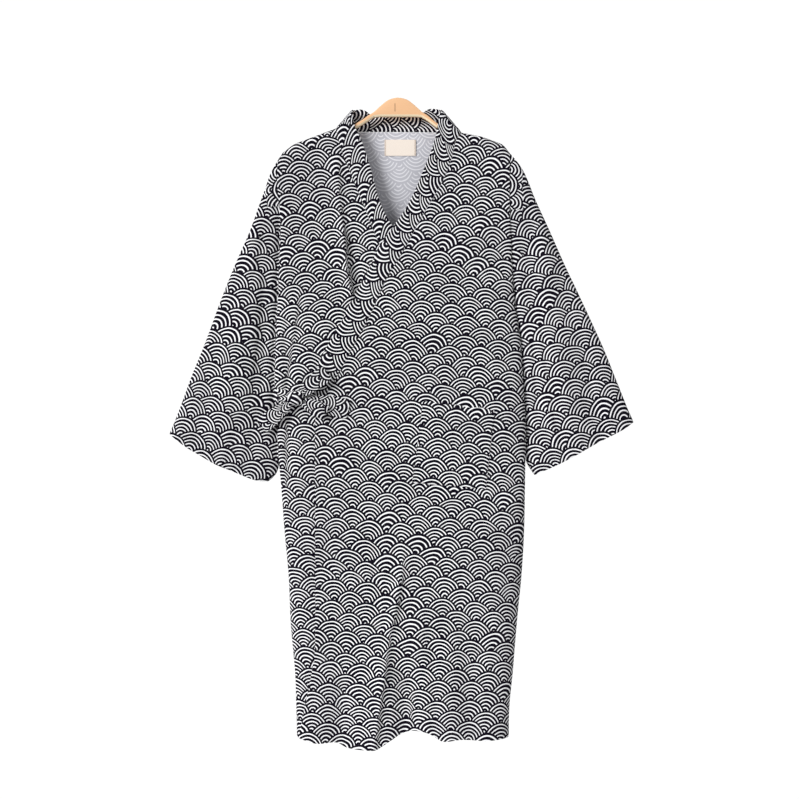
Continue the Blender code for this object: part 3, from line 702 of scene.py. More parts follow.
def oval(share, flatness=SIDE_FLATNESS):
    """The height of a flattened ring, 0 at both its ends and 1 in the middle."""
    return np.clip(1 - np.abs(2 * np.clip(share, 0, 1) - 1) ** flatness, 0, 1) ** (1 / flatness)


def armhole_depth(x, z):
    """Half the depth of the body at its edge: that of the sleeve's ring at the armhole, and 0 below it."""
    middle = (side_x("left", z) + side_x("right", z)) / 2
    depth = {}
    for side, line in ARMHOLE.items():
        depth[side] = ARMHOLE_DEPTH * oval((line[0][1] - z) / (line[0][1] - line[-1][1]))
    return np.where(x > middle, depth["left"], depth["right"])


def folds_at(x, z, folds):
    """How far the ridges and troughs of a table raise the cloth at a point."""
    raised = np.zeros_like(x)
    for x0, z0, x1, z1, width, height in folds:
        along = np.array([x1 - x0, z1 - z0], float)
        share = np.clip(((x - x0) * along[0] + (z - z0) * along[1]) / (along @ along), 0, 1)
        away = np.hypot(x - x0 - share * along[0], z - z0 - share * along[1])
        raised += height * np.exp(-((away / (width / 2)) ** 2))
    return raised


def across_tuck(x, z, line):
    """The signed distance of points from a tuck's line, how much it hides there, and its drop."""
    table = np.array(line, float)
    places = -z
    here, hidden, drop = [np.interp(places, -table[:, 1], table[:, column]) for column in (0, 2, 3)]
    first = np.clip((places + table[0, 1]) / TUCK_END, 0, 1)
    ends = first * np.clip((-table[-1, 1] - places) / TUCK_END, 0, 1)
    return x - here, hidden * ends, drop * ends


def tucked(x, z, tucks):
    """The step in the cloth at each tuck: one side stands forward and the other drops behind it."""
    raised = np.zeros_like(x)
    for line in tucks:
        away, _, drop = across_tuck(x, z, line)
        near = np.exp(-((np.minimum(away, 0) / TUCK_NEAR) ** 2))
        far = np.exp(-((np.maximum(away, 0) / TUCK_FAR) ** 2))
        raised += drop * (TUCK_RISE - (1 + TUCK_RISE) * (1 + np.tanh(away / TUCK_EDGE)) / 2) * near * far
    return raised


def hidden_cloth(x, z, tucks):
    """How much cloth the tucks have taken in, from the wearer's right up to each point."""
    taken = np.zeros_like(x)
    for line in tucks:
        away, hidden, _ = across_tuck(x, z, line)
        taken += hidden * np.tanh(away / TUCK_EDGE) / 2
    return taken


def unevenness(x, z):
    """Soft, low bumps of pressed cotton that is not quite flat."""
    broad = np.sin(x / 31 + 1.3 * np.sin(z / 57)) * np.sin(z / 43 + 0.8 * np.sin(x / 49))
    fine = np.sin(x / 13.7 + z / 41) * np.sin(z / 17.3 - x / 37)
    return BUMPS_BROAD * broad + BUMPS_FINE * fine


def inner_part(share, steepness):
    """1 over the middle of a width, falling to 0 at both its sides."""
    return np.clip(steepness * share, 0, 1) * np.clip(steepness * (1 - share), 0, 1)


def body_depth(x, z, layer):
    """How far a layer of the body, "upper", "under" or "back", lies from the plane of the hanger."""
    table = np.array(HALF_DEPTH, float)
    half, lap, half_back = [np.interp(-z, -table[:, 0], table[:, column]) for column in (1, 2, 3)]
    if layer == "back":
        half = half_back
    right, left = side_x("right", z), side_x("left", z)
    share = (x - right) / (left - right)
    ridge = np.array(RIDGE, float)
    below = np.clip((np.interp(x, ridge[:, 0], ridge[:, 1]) - z) / SHOULDER_TURN, 0, 1)
    turned = np.sqrt(1 - (1 - below) ** 2)
    reach = np.clip((-z - HEM_LEVEL + WAVE_REACH) / WAVE_REACH, 0, 1)
    waves = WAVE_HIGH * np.sin((x - WAVE_START) / WAVE_LONG * 2 * math.pi) * reach
    folds = BACK_FOLDS + BACK_CREASES if layer == "back" else FRONT_FOLDS
    tucks = BACK_TUCKS if layer == "back" else FRONT_TUCKS
    raised = folds_at(x, z, folds) + waves
    boxy = np.clip((z - BOXY_DOWN_TO) / BOXY_BLEND, 0, 1)
    across = (1 - boxy) * oval(share) + boxy * oval(share, BOXY_FLATNESS)
    base = (half + raised) * across * turned
    edge = armhole_depth(x, z) * np.abs(2 * np.clip(share, 0, 1) - 1) ** EDGE_POWER
    depth = np.hypot(base, edge)
    if layer == "upper":
        depth = depth + lap * turned * np.sqrt(np.clip((1 - share) / LAP_REACH, 0, 1))
    if layer != "back":
        depth = depth + folds_at(x, z, FRONT_CREASES) * inner_part(share, 4) * turned
    calm = inner_part(share, 6) * turned
    sides = inner_part(share, 20) * turned
    return depth + unevenness(x, z) * calm + tucked(x, z, tucks) * sides


def lift(grid, layer):
    """Gives the x and z of a panel their depth on a layer of the body."""
    x, z = grid[..., 0], grid[..., 1]
    depth = body_depth(x, z, layer)
    return np.stack([x, depth if layer == "back" else -depth, z], axis=-1)


deepest = body_depth(np.array([0.0]), np.array([-600.0]), "upper")[0]
print("At the waist the upper front stands", round(float(deepest), 1), "mm before the hanger's plane")


# %% [markdown]
# ## From a grid of points to a shell of cloth
#
# A Solidify modifier would thicken a sheet, but a hem is turned up twice and is thicker than the cloth above
# it, and the skins have to stop short of the seam planes. So both skins are worked out here from the grid's
# normals, with a thickness for each point. The outer skin takes the print, the inner one the wrong side. The
# print's coordinates are measured along each row of points, over hill and dale, so that folds foreshorten it.


# %% Normals, faces and the two skins
CLOTH_EDGE_ANGLE = 60


def grid_normals(middle, ring):
    """The unit normal at each point of a grid, from its neighbours."""
    if ring:
        across = np.roll(middle, -1, axis=1) - np.roll(middle, 1, axis=1)
    else:
        across = np.gradient(middle, axis=1)
    down = np.gradient(middle, axis=0)
    total = np.cross(down, across)
    return total / np.maximum(np.linalg.norm(total, axis=2, keepdims=True), 1e-9)


def grid_quads(rows, columns, ring):
    """Corner numbers of a grid's faces: in its points, and in its print, which does not close on itself."""
    steps = columns if ring else columns - 1
    i, j = np.meshgrid(np.arange(rows - 1), np.arange(steps), indexing="ij")
    down = np.stack([i, i + 1, i + 1, i], axis=-1).reshape(-1, 4)
    along = np.stack([j, j, j + 1, j + 1], axis=-1).reshape(-1, 4)
    return down * columns + along % columns, down * (steps + 1) + along


def rim_edges(rows, columns, ring):
    """The open edges of a grid, in its points and in its print, each in the sense that closes a wall."""
    steps = columns if ring else columns - 1
    pairs = [((0, j), (0, j + 1)) for j in range(steps)]
    pairs += [((rows - 1, j + 1), (rows - 1, j)) for j in range(steps)]
    if not ring:
        pairs += [((i + 1, 0), (i, 0)) for i in range(rows - 1)]
        pairs += [((i, steps), (i + 1, steps)) for i in range(rows - 1)]
    points = [[i * columns + j % columns for i, j in pair] for pair in pairs]
    prints = [[i * (steps + 1) + j for i, j in pair] for pair in pairs]
    return np.array(points), np.array(prints)


def face_outwards(mesh):
    """Turns all faces of a closed mesh outwards."""
    work = bmesh.new()
    work.from_mesh(mesh)
    bmesh.ops.recalc_face_normals(work, faces=work.faces)
    work.to_mesh(mesh)
    work.free()


def capped_rings(name, points):
    """A mesh of rings of points in metres with a cap at both ends, and its quads' corners in a print."""
    rows, columns = points.shape[:2]
    quads, prints = grid_quads(rows, columns, True)
    caps = [list(range(columns)), [(rows - 1) * columns + step for step in reversed(range(columns))]]
    mesh = bpy.data.meshes.new(name)
    mesh.from_pydata(points.reshape(-1, 3).tolist(), [], quads.tolist() + caps)
    return mesh, prints


def shell(name, middle, thick, cloth_map, finishes, outside=1, ring=False, keep=None, patch_map=None):
    """Cloth about a grid of points in millimetres, as one closed mesh object.

    A patch map is a second map of the cloth with a mask. It is used on the faces that lie wholly in the mask.
    """
    out = grid_normals(middle, ring) * (outside * np.asarray(thick, float) / 2)[..., None]
    skins = [middle + out, middle - out]
    if keep is not None:
        skins = [keep(skin) for skin in skins]
    rows, columns = middle.shape[:2]
    count = rows * columns
    quads, print_quads = grid_quads(rows, columns, ring)
    edges, print_edges = rim_edges(rows, columns, ring)
    rim = np.column_stack([edges, edges[:, ::-1] + count])
    print_rim = np.column_stack([print_edges, print_edges[:, ::-1]])
    faces = np.vstack([quads, quads[:, ::-1] + count, rim])
    corners = np.vstack([print_quads, print_quads[:, ::-1], print_rim])
    if outside < 0:
        faces, corners = faces[:, ::-1], corners[:, ::-1]
    mesh = bpy.data.meshes.new(name)
    points = np.concatenate([skin.reshape(-1, 3) for skin in skins]) * MM
    mesh.from_pydata(points.tolist(), [], faces.tolist())
    flat = cloth_map.reshape(-1, 2)
    if patch_map is not None:
        second, inside = patch_map
        corners = corners + len(flat) * inside.ravel()[corners].all(axis=1)[:, None]
        flat = np.vstack([flat, second.reshape(-1, 2)])
    layer = mesh.uv_layers.new(name="cloth")
    layer.data.foreach_set("uv", (flat * MM)[corners.ravel()].ravel())
    inner = np.zeros(len(faces), int)
    inner[len(quads) : 2 * len(quads)] = len(finishes) - 1
    mesh.polygons.foreach_set("material_index", inner)
    for finish in finishes:
        mesh.materials.append(finish)
    mesh.shade_smooth()
    mesh.set_sharp_from_angle(angle=math.radians(CLOTH_EDGE_ANGLE))
    return placed(name, mesh)


def areas_of(middle, ring=False):
    """The area of a grid of points, in square metres."""
    closed = np.concatenate([middle, middle[:, :1]], axis=1) if ring else middle
    across = closed[:-1, 1:] - closed[:-1, :-1]
    down = closed[1:, :-1] - closed[:-1, :-1]
    return float(np.linalg.norm(np.cross(across, down), axis=2).sum()) * MM * MM


print("A shell takes a grid, a thickness and a map of its cloth")


# %% Where the print lies on a panel
TURN_HEIGHTS = (-1400, 100, 751)


def print_turn(up, tilt):
    """How the print's rows lean at each height: a table of height and degrees, clockwise from upright."""
    table = np.array(sorted(tilt), float)
    heights = np.linspace(*TURN_HEIGHTS)
    lean = np.radians(np.interp(heights, table[:, 0], table[:, 1]))
    step = heights[1] - heights[0]
    sideways = np.interp(up, heights, np.cumsum(np.sin(lean)) * step)
    upwards = np.interp(up, heights, np.cumsum(np.cos(lean)) * step)
    return np.interp(up, heights, lean), sideways, upwards


def over_shoulder(middle):
    """The cloth that a panel's top rows take to turn over the shoulder, beyond the height that they climb."""
    step = np.diff(middle, axis=0)
    more = np.hypot(step[..., 1], step[..., 2]) - np.abs(step[..., 2])
    more[SHOULDER_ROWS:] = 0
    return np.concatenate([np.cumsum(more[::-1], axis=0)[::-1], np.zeros((1, middle.shape[1]))])


def panel_map(middle, tilt, shift=(0, 0), turned=False, tucks=()):
    """The cloth's own coordinates on a panel: along each row over the folds, and up its height."""
    step = np.diff(middle, axis=1)
    along = np.sign(step[..., 0]) * np.hypot(step[..., 0], step[..., 1])
    across = np.concatenate([np.zeros((len(middle), 1)), np.cumsum(along, axis=1)], axis=1)
    anchor = middle.shape[1] // 2
    across += middle[:, anchor : anchor + 1, 0] - across[:, anchor : anchor + 1]
    across += hidden_cloth(middle[..., 0], middle[..., 2], tucks)
    up = middle[..., 2] + over_shoulder(middle)
    lean, sideways, upwards = print_turn(up, tilt)
    found = np.stack([across * np.cos(lean) - sideways, across * np.sin(lean) + upwards], axis=-1)
    if turned:
        found = -found
    return found + np.array(shift, float)


print("A print can lean by", print_turn(np.array([0.0]), ((-1200, 3), (0, 7)))[0], "radians at the crown")


# %% [markdown]
# ## The two fronts and the back
#
# The wearer's left front crosses over the right one. Both hang from the shoulder ridge, are sewn to a sleeve
# above the armpit and to the back below it. Columns of points crowd together where the cloth turns round the
# side, and a turned-up hem makes the last 18 mm thicker.


# %% Shares of points across and down
HEM_TURN = 18.0
HEM_THICK = 0.8
FOLD_SOFT = 2.0
EDGE_ROUND = 2.5
EDGE_THIN = 0.15
RING_SAMPLES = 2001
TOP_ROWS = (0.3, 0.9, 1.8, 2.8)
HEM_ROWS = (HEM_TURN + FOLD_SOFT, HEM_TURN, HEM_TURN - FOLD_SOFT, EDGE_ROUND, 1.0)
HEM_CORNER = 8
# Twice the fronts' widths, because each front turns back at one of its sides only
FRONT_WIDE = {"right": 700, "left": 760}
FRONT_DEEP = 20
BACK_WIDE = 450
BACK_DEEP = 22
CUT_LONG = 1.16
SHOULDER_POINTS = {"right": (-192, -150), "left": (154, 192)}


def rounded_shares(wide, deep, flatness):
    """Shares across a flattened ring that are evenly spaced round its curve."""
    angle = np.linspace(0, math.pi, RING_SAMPLES)
    share = (1 - np.sign(np.cos(angle)) * np.abs(np.cos(angle)) ** (2 / flatness)) / 2
    high = np.sin(angle) ** (2 / flatness)
    run = running(np.hypot(np.diff(share) * wide, np.diff(high) * deep))
    count = int(round(run[-1] / MESH_STEP))
    return np.interp(np.linspace(0, run[-1], count + 1), run, share)


def one_sided(shares):
    """The first half of a ring's shares, stretched over the whole width of a panel."""
    half = shares[shares <= 0.5]
    return np.concatenate([half[:-1], [0.5]]) * 2


def rows_with_hem(length):
    """Shares down a panel, with extra rows where the hem's edge is sewn."""
    even = np.linspace(0, 1, int(length / MESH_STEP) + 1)
    line = 1 - np.array(HEM_ROWS) / length
    return np.unique(np.round(np.concatenate([np.array(TOP_ROWS) / length, even, line]), 6))


def hem_thickness(down, length, columns):
    """The cloth's thickness: more below the sewn edge of the hem."""
    from_edge = (1 - down) * length
    turned = np.clip((HEM_TURN + FOLD_SOFT - from_edge) / (2 * FOLD_SOFT), 0, 1)
    rolled = np.sqrt(np.clip(from_edge / EDGE_ROUND, EDGE_THIN, 1))
    return np.repeat(((SHELL + HEM_THICK * turned) * rolled)[:, None], columns, axis=1)


def hem_between(x0, x1):
    """The part of the hem between two x, as an edge."""
    table = np.array(HEM, float)
    inner = [tuple(row) for row in table if x0 + HEM_CORNER < row[0] < x1 - HEM_CORNER]
    height = [np.interp(x, table[:, 0], table[:, 1]) for x in (x0, x1)]
    return smooth_path([(x0, height[0]), *inner, (x1, height[1])])[0]


def front_grid(side, across, down):
    """The x and z of a front, from the wearer's right to left."""
    edges = (joined_path(BAND_SEAM[side], FRONT_EDGE[side])[0], joined_path(ARMHOLE[side], SIDE[side])[0])
    ends = (BAND_SEAM[side][0], ARMHOLE[side][0])
    low = (FRONT_EDGE[side][-1][0], SIDE[side][-1][0])
    if side == "right":
        edges, ends, low = edges[::-1], ends[::-1], low[::-1]
    ridge = [row for row in RIDGE if ends[0][0] < row[0] < ends[1][0]]
    top = smooth_path([ends[0], *ridge, ends[1]])[0]
    return patch(*edges, top, hem_between(*low), across, down)


def back_grid(across, down):
    """The x and z of the back, from the wearer's right to left."""
    outer = {side: joined_path(ARMHOLE[side], SIDE[side])[0] for side in SIDE}
    hem = hem_between(SIDE["right"][-1][0], SIDE["left"][-1][0])
    shoulders = {side: [row for row in RIDGE if row[0] in inner] for side, inner in SHOULDER_POINTS.items()}
    top = joined_path(
        [ARMHOLE["right"][0], *shoulders["right"], NECK_SEAM[0]],
        NECK_SEAM,
        [NECK_SEAM[-1], *shoulders["left"], ARMHOLE["left"][0]],
    )[0]
    return patch(outer["right"], outer["left"], top, hem, across, down)


def seams_clear(panel):
    """Draws both sides of a panel in by its half of the seams' gap."""
    panel[:, 0, 0] += SEAM_GAP / 2
    panel[:, -1, 0] -= SEAM_GAP / 2


def meet_at_side(panel, side):
    """Brings the edge of a panel below the armpit to the plane of the side seam."""
    column = {"right": 0, "left": -1}[side]
    below = panel[:, column, 2] < ARMHOLE[side][-1][1]
    panel[below, column, 1] = 0


def within_armholes(points):
    """Keeps the body's cloth on its own side of the armhole seams."""
    kept = points.copy()
    x, z = kept[..., 0], kept[..., 2]
    yoke = z > ARMHOLE["right"][-1][1] + ARMPIT_CLEAR
    low = np.where(yoke, side_x("right", z) + SEAM_GAP / 2, -np.inf)
    high = np.where(yoke, side_x("left", z) - SEAM_GAP / 2, np.inf)
    kept[..., 0] = np.clip(x, low, high)
    return kept


def before_seam_plane(points):
    """Keeps the front's cloth clear of the plane where it meets the back."""
    kept = within_armholes(points)
    kept[..., 1] = np.minimum(kept[..., 1], -SEAM_GAP / 2)
    return kept


def behind_seam_plane(points):
    """Keeps the back's cloth clear of the same plane."""
    kept = within_armholes(points)
    kept[..., 1] = np.maximum(kept[..., 1], SEAM_GAP / 2)
    return kept


ROBE_SIDES = (PRINTED, WRONG_SIDE)


def declare(piece, nodes, flat):
    """Hides the imported parts that a piece of cloth stands for, and attaches the piece to the root."""
    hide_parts(*nodes)
    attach(piece, "root")


SIDE_LENGTH = {side: joined_path(ARMHOLE[side], SIDE[side])[1] for side in SIDE}


def hang_panel(name, node, panel, length, cloth_map, wide, outside=1, keep=before_seam_plane):
    """The shell of a front or back that hangs from the hanger, with its frame calls."""
    thick = hem_thickness(rows_with_hem(length), length, panel.shape[1])
    piece = shell(name, panel, thick, cloth_map, ROBE_SIDES, outside=outside, keep=keep)
    area = areas_of(panel)
    declare(piece, [node], (wide, CUT_LONG))
    print(name, "has", round(area, 3), "square metres in", len(piece.data.polygons), "faces")


print("The sides measure", " and ".join(str(round(run)) for run in SIDE_LENGTH.values()), "mm to the hem")

# %% The wearer's right front, which lies under the other
length = SIDE_LENGTH["right"]
across = one_sided(rounded_shares(FRONT_WIDE["right"], FRONT_DEEP, SIDE_FLATNESS))
right_front = lift(front_grid("right", across, rows_with_hem(length)), "under")
seams_clear(right_front)
meet_at_side(right_front, "right")
cloth_map = panel_map(right_front, ((-1200, -6), (-600, -8), (-100, -10)), shift=(12, 5), tucks=FRONT_TUCKS)
hang_panel("robe_front_right", "front_right", right_front, length, cloth_map, 0.4)

# %% The wearer's left front, with a rolled front edge
EDGE_ROLL = 1.6
EDGE_ROLL_WIDE = 9.0
EDGE_ROLL_START = 60


def roll_front_edge(panel):
    """The free edge below the band curls a little out of the panel."""
    from_edge = panel[..., 0] - panel[:, :1, 0]
    low = np.clip((FRONT_EDGE["left"][0][1] - panel[:, :1, 2]) / EDGE_ROLL_START, 0, 1)
    panel[..., 1] -= EDGE_ROLL * np.exp(-((from_edge / EDGE_ROLL_WIDE) ** 2)) * low


length = SIDE_LENGTH["left"]
across = 1 - one_sided(rounded_shares(FRONT_WIDE["left"], FRONT_DEEP, SIDE_FLATNESS))[::-1]
left_front = lift(front_grid("left", across, rows_with_hem(length)), "upper")
seams_clear(left_front)
roll_front_edge(left_front)
meet_at_side(left_front, "left")
cloth_map = panel_map(left_front, ((-1200, 3), (-700, 5), (-100, 7)), tucks=FRONT_TUCKS)
hang_panel("robe_front_left", "front_left", left_front, length, cloth_map, 0.42)

# %% The back, whose print runs the other way up
length = SIDE_LENGTH["right"]
across = rounded_shares(BACK_WIDE, BACK_DEEP, SIDE_FLATNESS)
back = lift(back_grid(across, rows_with_hem(length)), "back")
seams_clear(back)
meet_at_side(back, "right")
meet_at_side(back, "left")
cloth_map = panel_map(back, ((-1200, 1), (-100, -2)), shift=(8, 14), turned=True, tucks=BACK_TUCKS)
hang_panel("robe_back", "back", back, length, cloth_map, 0.5, outside=-1, keep=behind_seam_plane)

# %% [markdown]
# ## The wide sleeves
#
# A sleeve is one rectangle of cloth, folded along its top and closed by a single seam below, so the print
# runs on from its front over the fold to its back. Each ring of points starts at the lower seam, goes up the
# back wall, over the fold and down the front. The cloth's coordinates are measured from the fold both ways.

# %% The sleeves
PRINT_ON_SLEEVE = {"right": 26.0, "left": -27.0}
# How deeply the front is pinched beside the body, from which height down, and how far out it fades
BESIDE_BODY = {"right": (0.9, -185, 13), "left": (0.3, -400, 11)}
BESIDE_SEAM = 1.5
BACK_PINCH = 0.35
# The head's lowest height, its width, and where its turned print lies
SLEEVE_HEAD = {"right": (-206, 24, 140, 214), "left": (-212, 25, 132, 204)}
SLEEVE_WIDE = 215
SLEEVE_CUT = (0.62, 0.56)
SLEEVE_AREA = 0.347
SLEEVE_PRINT = {"right": (-7, 9), "left": (23, 9)}
ARMPIT_EASE = 40
FOLDS_FROM = 0.2
ROUND_FROM = 0.15
PINCH_FADE = 50


def sleeve_walls(side, around, along):
    """A sleeve's x and z and both its walls' depths, around from its fold and along from its armhole."""
    edges = [smooth_path(table[side])[0] for table in (SLEEVE_TOP, SLEEVE_SEAM, ARMHOLE, CUFF)]
    flat = patch(*edges, around, along)
    x, z = flat[..., 0], flat[..., 1]
    run = np.array(along)[:, None]
    share = np.array(around)[None, :]
    raised = folds_at(x * -OUTWARDS[side], z, SLEEVE_FOLDS) + folds_at(x, z, SLEEVE_CREASES[side])
    raised += unevenness(x, z)
    raised += tucked(x, z, SLEEVE_TUCKS[side])
    half = ARMHOLE_DEPTH + (CUFF_DEPTH - ARMHOLE_DEPTH) * run + raised * np.clip(run / FOLDS_FROM, 0, 1)
    half = half * oval(share)
    start = np.clip(run / ROUND_FROM, 0, 1)
    half = (1 - start) * armhole_depth(x, z) + start * half
    deep, top, wide = BESIDE_BODY[side]
    beside = np.abs(x - side_x(side, z))
    groove = np.exp(-beside / wide) * (1 - np.exp(-((beside / BESIDE_SEAM) ** 2)))
    pinch = deep * groove * np.clip((top - z) / PINCH_FADE, 0, 1)
    return x, z, half * (1 - pinch), half * (1 - BACK_PINCH * pinch)


def sleeve_map(wall, lean, way):
    """The cloth's coordinates on one wall of a sleeve, whose first column is the fold."""
    up = np.array([math.sin(math.radians(lean)), math.cos(math.radians(lean))])
    out = np.array([up[1], -up[0]])
    across = wall[..., 0] * out[0] + wall[..., 2] * out[1]
    fold = across[:, :1]
    step = np.diff(wall[len(wall) // 2], axis=0)
    flat = np.hypot(step[:, 0], step[:, 2])
    round_the_fold = running(np.hypot(flat, step[:, 1]) - flat)
    across = across + np.sign(across[:, -1:] - fold) * round_the_fold
    across = fold + way * (across - fold)
    return np.stack([across, wall[..., 0] * up[0] + wall[..., 2] * up[1]], axis=-1)


def head_print(side, points):
    """Turns the print beside the armhole's top, where the sleeve's head is eased in and faces outwards."""
    x, y, z = np.moveaxis(points, -1, 0)
    way = OUTWARDS[side]
    low, wide, middle, foot = SLEEVE_HEAD[side]
    turned = np.stack([-way * (z + middle), way * x - foot + ARMHOLE_DEPTH + y], axis=-1)
    return turned, (z > low) & (y < 0) & (np.abs(x - side_x(side, z)) < wide)


def outside_armhole(side):
    """Keeps a sleeve clear of the body: by the seam's gap at the armhole, and by more towards the armpit."""
    way = OUTWARDS[side]
    armpit = ARMHOLE[side][-1][1]
    gaps = (SHELL / 2 + SEAM_GAP / 2, SEAM_GAP / 2)

    def keep(points):
        kept = points.copy()
        clear = np.interp(kept[..., 2], (armpit, armpit + ARMPIT_EASE), gaps)
        kept[..., 0] = way * np.maximum(way * kept[..., 0], way * side_x(side, kept[..., 2]) + clear)
        return kept

    return keep


sleeve_rings = {}
for side in ("right", "left"):
    sleeve_length = smooth_path(SLEEVE_TOP[side])[1]
    along = rows_with_hem(sleeve_length)
    around = rounded_shares(SLEEVE_WIDE, CUFF_DEPTH, SIDE_FLATNESS)
    x, z, half_front, half_back = sleeve_walls(side, around, along)
    front = np.stack([x, -half_front, z], axis=-1)
    back_wall = np.stack([x, half_back, z], axis=-1)
    rings = np.concatenate([back_wall[:, ::-1], front[:, 1:-1]], axis=1)
    rings[0, :, 0] += SEAM_GAP / 2 * OUTWARDS[side]
    lean = PRINT_ON_SLEEVE[side]
    maps = [sleeve_map(back_wall, lean, -1)[:, ::-1], sleeve_map(front, lean, 1)[:, 1:]]
    cloth = np.concatenate(maps, axis=1) + np.array(SLEEVE_PRINT[side])
    piece = shell(
        "robe_sleeve_" + side,
        rings,
        hem_thickness(along, sleeve_length, rings.shape[1]),
        cloth,
        ROBE_SIDES,
        outside=-OUTWARDS[side],
        ring=True,
        keep=outside_armhole(side),
        patch_map=head_print(side, np.concatenate([rings, rings[:, :1]], axis=1)),
    )
    sleeve_rings[side] = rings
    area = min(areas_of(rings, ring=True), SLEEVE_AREA)
    declare(piece, ["sleeve_" + side], SLEEVE_CUT)
    print("Sleeve", side, "has", round(area, 3), "square metres in", len(piece.data.polygons), "faces")

# %% [markdown]
# ## The collar band
#
# One long strip, folded in half and sewn over the neck's raw edge, runs from the low end of one front round
# the back of the neck to the other. Its print runs along the strip. So its scales stand upright on one side
# of the neck, lie on their sides behind it, and hang upside down on the other side.

# %% The collar band
BAND_ROWS = 5.0
BAND_ACROSS = np.array([0, 0.02, 0.06, 0.13, 0.23, 0.36, 0.5, 0.64, 0.77, 0.87, 0.94, 0.98, 1.0])
BACK_LEAN = 3.0
BAND_PRINT = (-1.5, 0)
BAND_CUT = (0.045, 1.5)
BAND_AREA = 0.0675


def band_edges():
    """Rows of the band as its sewn edge, its free edge and the layer under it."""
    rows = []
    for side, layer, order in (("right", "under", -1), ("left", "upper", 1)):
        seam, length = smooth_path(BAND_SEAM[side])
        free = smooth_path(BAND_FREE[side])[0]
        shares = np.linspace(0, 1, int(length / BAND_ROWS) + 1)
        part = [(seam(share), free(share), layer) for share in shares]
        rows.append(part[::order])
    seam, length = smooth_path(NECK_SEAM)
    free = smooth_path(NECK_FREE)[0]
    shares = np.linspace(0, 1, int(length / BAND_ROWS) + 1)[1:-1]
    behind = [(seam(share), free(share), "back") for share in shares]
    return rows[0] + behind + rows[1]


def band_grid():
    """The band's points, each row of them from the sewn edge to the free one."""
    grid = []
    for seam, free, layer in band_edges():
        across = (free - seam) / np.linalg.norm(free - seam)
        places = seam + across * BAND_GAP + (free - seam) * BAND_ACROSS[:, None]
        depth = body_depth(places[:, 0], places[:, 1], layer)
        way = 1 if layer == "back" else -1
        depth = depth + (BACK_LEAN * BAND_ACROSS if layer == "back" else 0)
        grid.append(np.stack([places[:, 0], way * depth, places[:, 1]], axis=-1))
    return np.array(grid)


collar = band_grid()
band_run = distances(collar[:, len(BAND_ACROSS) // 2])
band_wide = np.linalg.norm(collar[:, -1] - collar[:, 0], axis=1)
band_map = together(BAND_ACROSS * band_wide[:, None], band_run[:, None])
edge_round = np.sqrt(np.clip(1 - np.abs(2 * BAND_ACROSS - 1) ** 8, 0.02, 1))
thick = np.repeat((BAND_SHELL * edge_round)[None, :], len(collar), axis=0)
piece = shell("robe_collar", collar, thick, band_map + np.array(BAND_PRINT), (PRINTED, PRINTED))
area = min(areas_of(collar), BAND_AREA)
declare(piece, ["collar"], BAND_CUT)
print("Collar band:", round(band_run[-1]), "mm long,", len(piece.data.polygons), "faces")

# %% [markdown]
# ## Pocket and label
#
# The pocket is a square patch with a turned top, laid on the left front and sewn round three sides. The label
# is a folded piece of cream tape sewn inside the back of the neck, and is left bare. Both follow the cloth
# that they lie on, because their points are lifted by the same formula.

# %% The patch pocket
# Its corners: both of its top and both of its bottom, the wearer's right one first
POCKET = ((46, -561), (177, -577), (26, -710), (161, -722))
POCKET_MOUTH = 26.0
MOUTH_THICK = 0.5
POCKET_BAG = 0.9
BAG_DOWN = 0.3
MOUTH_SAG = 1.2
MOUTH_WAVES = 5.5
MOUTH_SAG_DOWN = 0.04
HEM_LINES = [0.165, 0.175, 0.185]


def between(start, end, share):
    """The point part of the way from one point to another."""
    return start + (end - start) * share


top_right, top_left, low_right, low_left = [np.array(corner, float) for corner in POCKET]
pocket_rows = np.unique(np.concatenate([np.linspace(0, 1, 41), [0.01, *HEM_LINES, 0.99]]))
pocket_columns = np.unique(np.concatenate([np.linspace(0, 1, 35), [0.01, 0.99]]))
sides = [(between(top_right, low_right, row), between(top_left, low_left, row)) for row in pocket_rows]
grid = [[between(start, end, column) for column in pocket_columns] for start, end in sides]
pocket = lift(np.array(grid), "upper")
bag = np.sin(math.pi * pocket_columns)[None, :] * np.exp(-pocket_rows / BAG_DOWN)[:, None]
pocket[..., 1] -= CLOTH / 2 + LAID_ON + TRIM_SHELL / 2 + POCKET_BAG * bag
sag = MOUTH_SAG * np.sin(MOUTH_WAVES * pocket_columns * math.pi)
pocket[..., 2] += sag * np.exp(-pocket_rows[:, None] / MOUTH_SAG_DOWN)
from_top = pocket_rows * POCKET[0][1] - pocket_rows * POCKET[2][1]
mouth = np.where(from_top < POCKET_MOUTH, MOUTH_THICK, 0.0)
thick = np.repeat((TRIM_SHELL + mouth)[:, None], len(pocket_columns), axis=1)
piece = shell(
    "robe_pocket", pocket, thick, panel_map(pocket, ((-1200, 7), (0, 7)), shift=(21, 8)), (PRINTED, PRINTED)
)
declare(piece, ["pocket"], (0.135, 0.148))
print("Pocket:", round(areas_of(pocket) * 1e4), "square centimetres")

# %% The bare label
x0, x1, z0, z1 = LABEL
grid = np.array([[(x, z) for x in np.linspace(x0, x1, 30)] for z in np.linspace(z0, z1, 16)], float)
label = lift(grid, "back")
label[..., 1] -= CLOTH / 2 + LAID_ON + TRIM_SHELL / 2
label_thick = np.full(label.shape[:2], TRIM_SHELL)
label_piece = shell("neck_label", label, label_thick, grid, (LABEL_TAPE, LABEL_TAPE))
declare(label_piece, ["label"], (0.058, 0.029))
print("Label:", x1 - x0, "by", z0 - z1, "mm, bare")

# %% [markdown]
# ## Belt and bow
#
# The belt is a flat tie of the same cotton. One end comes from the front edge, the other out of the side
# seam, and they are tied in a bow with two loops and two free ends. Each stretch is a ribbon along a line,
# pinched and pleated where the knot holds it and opening out away from it.

# %% Sizes of the bow, in millimetres
KNOT = (-187, -36, -555)
KNOT_SIZE = (30, 20, 27)
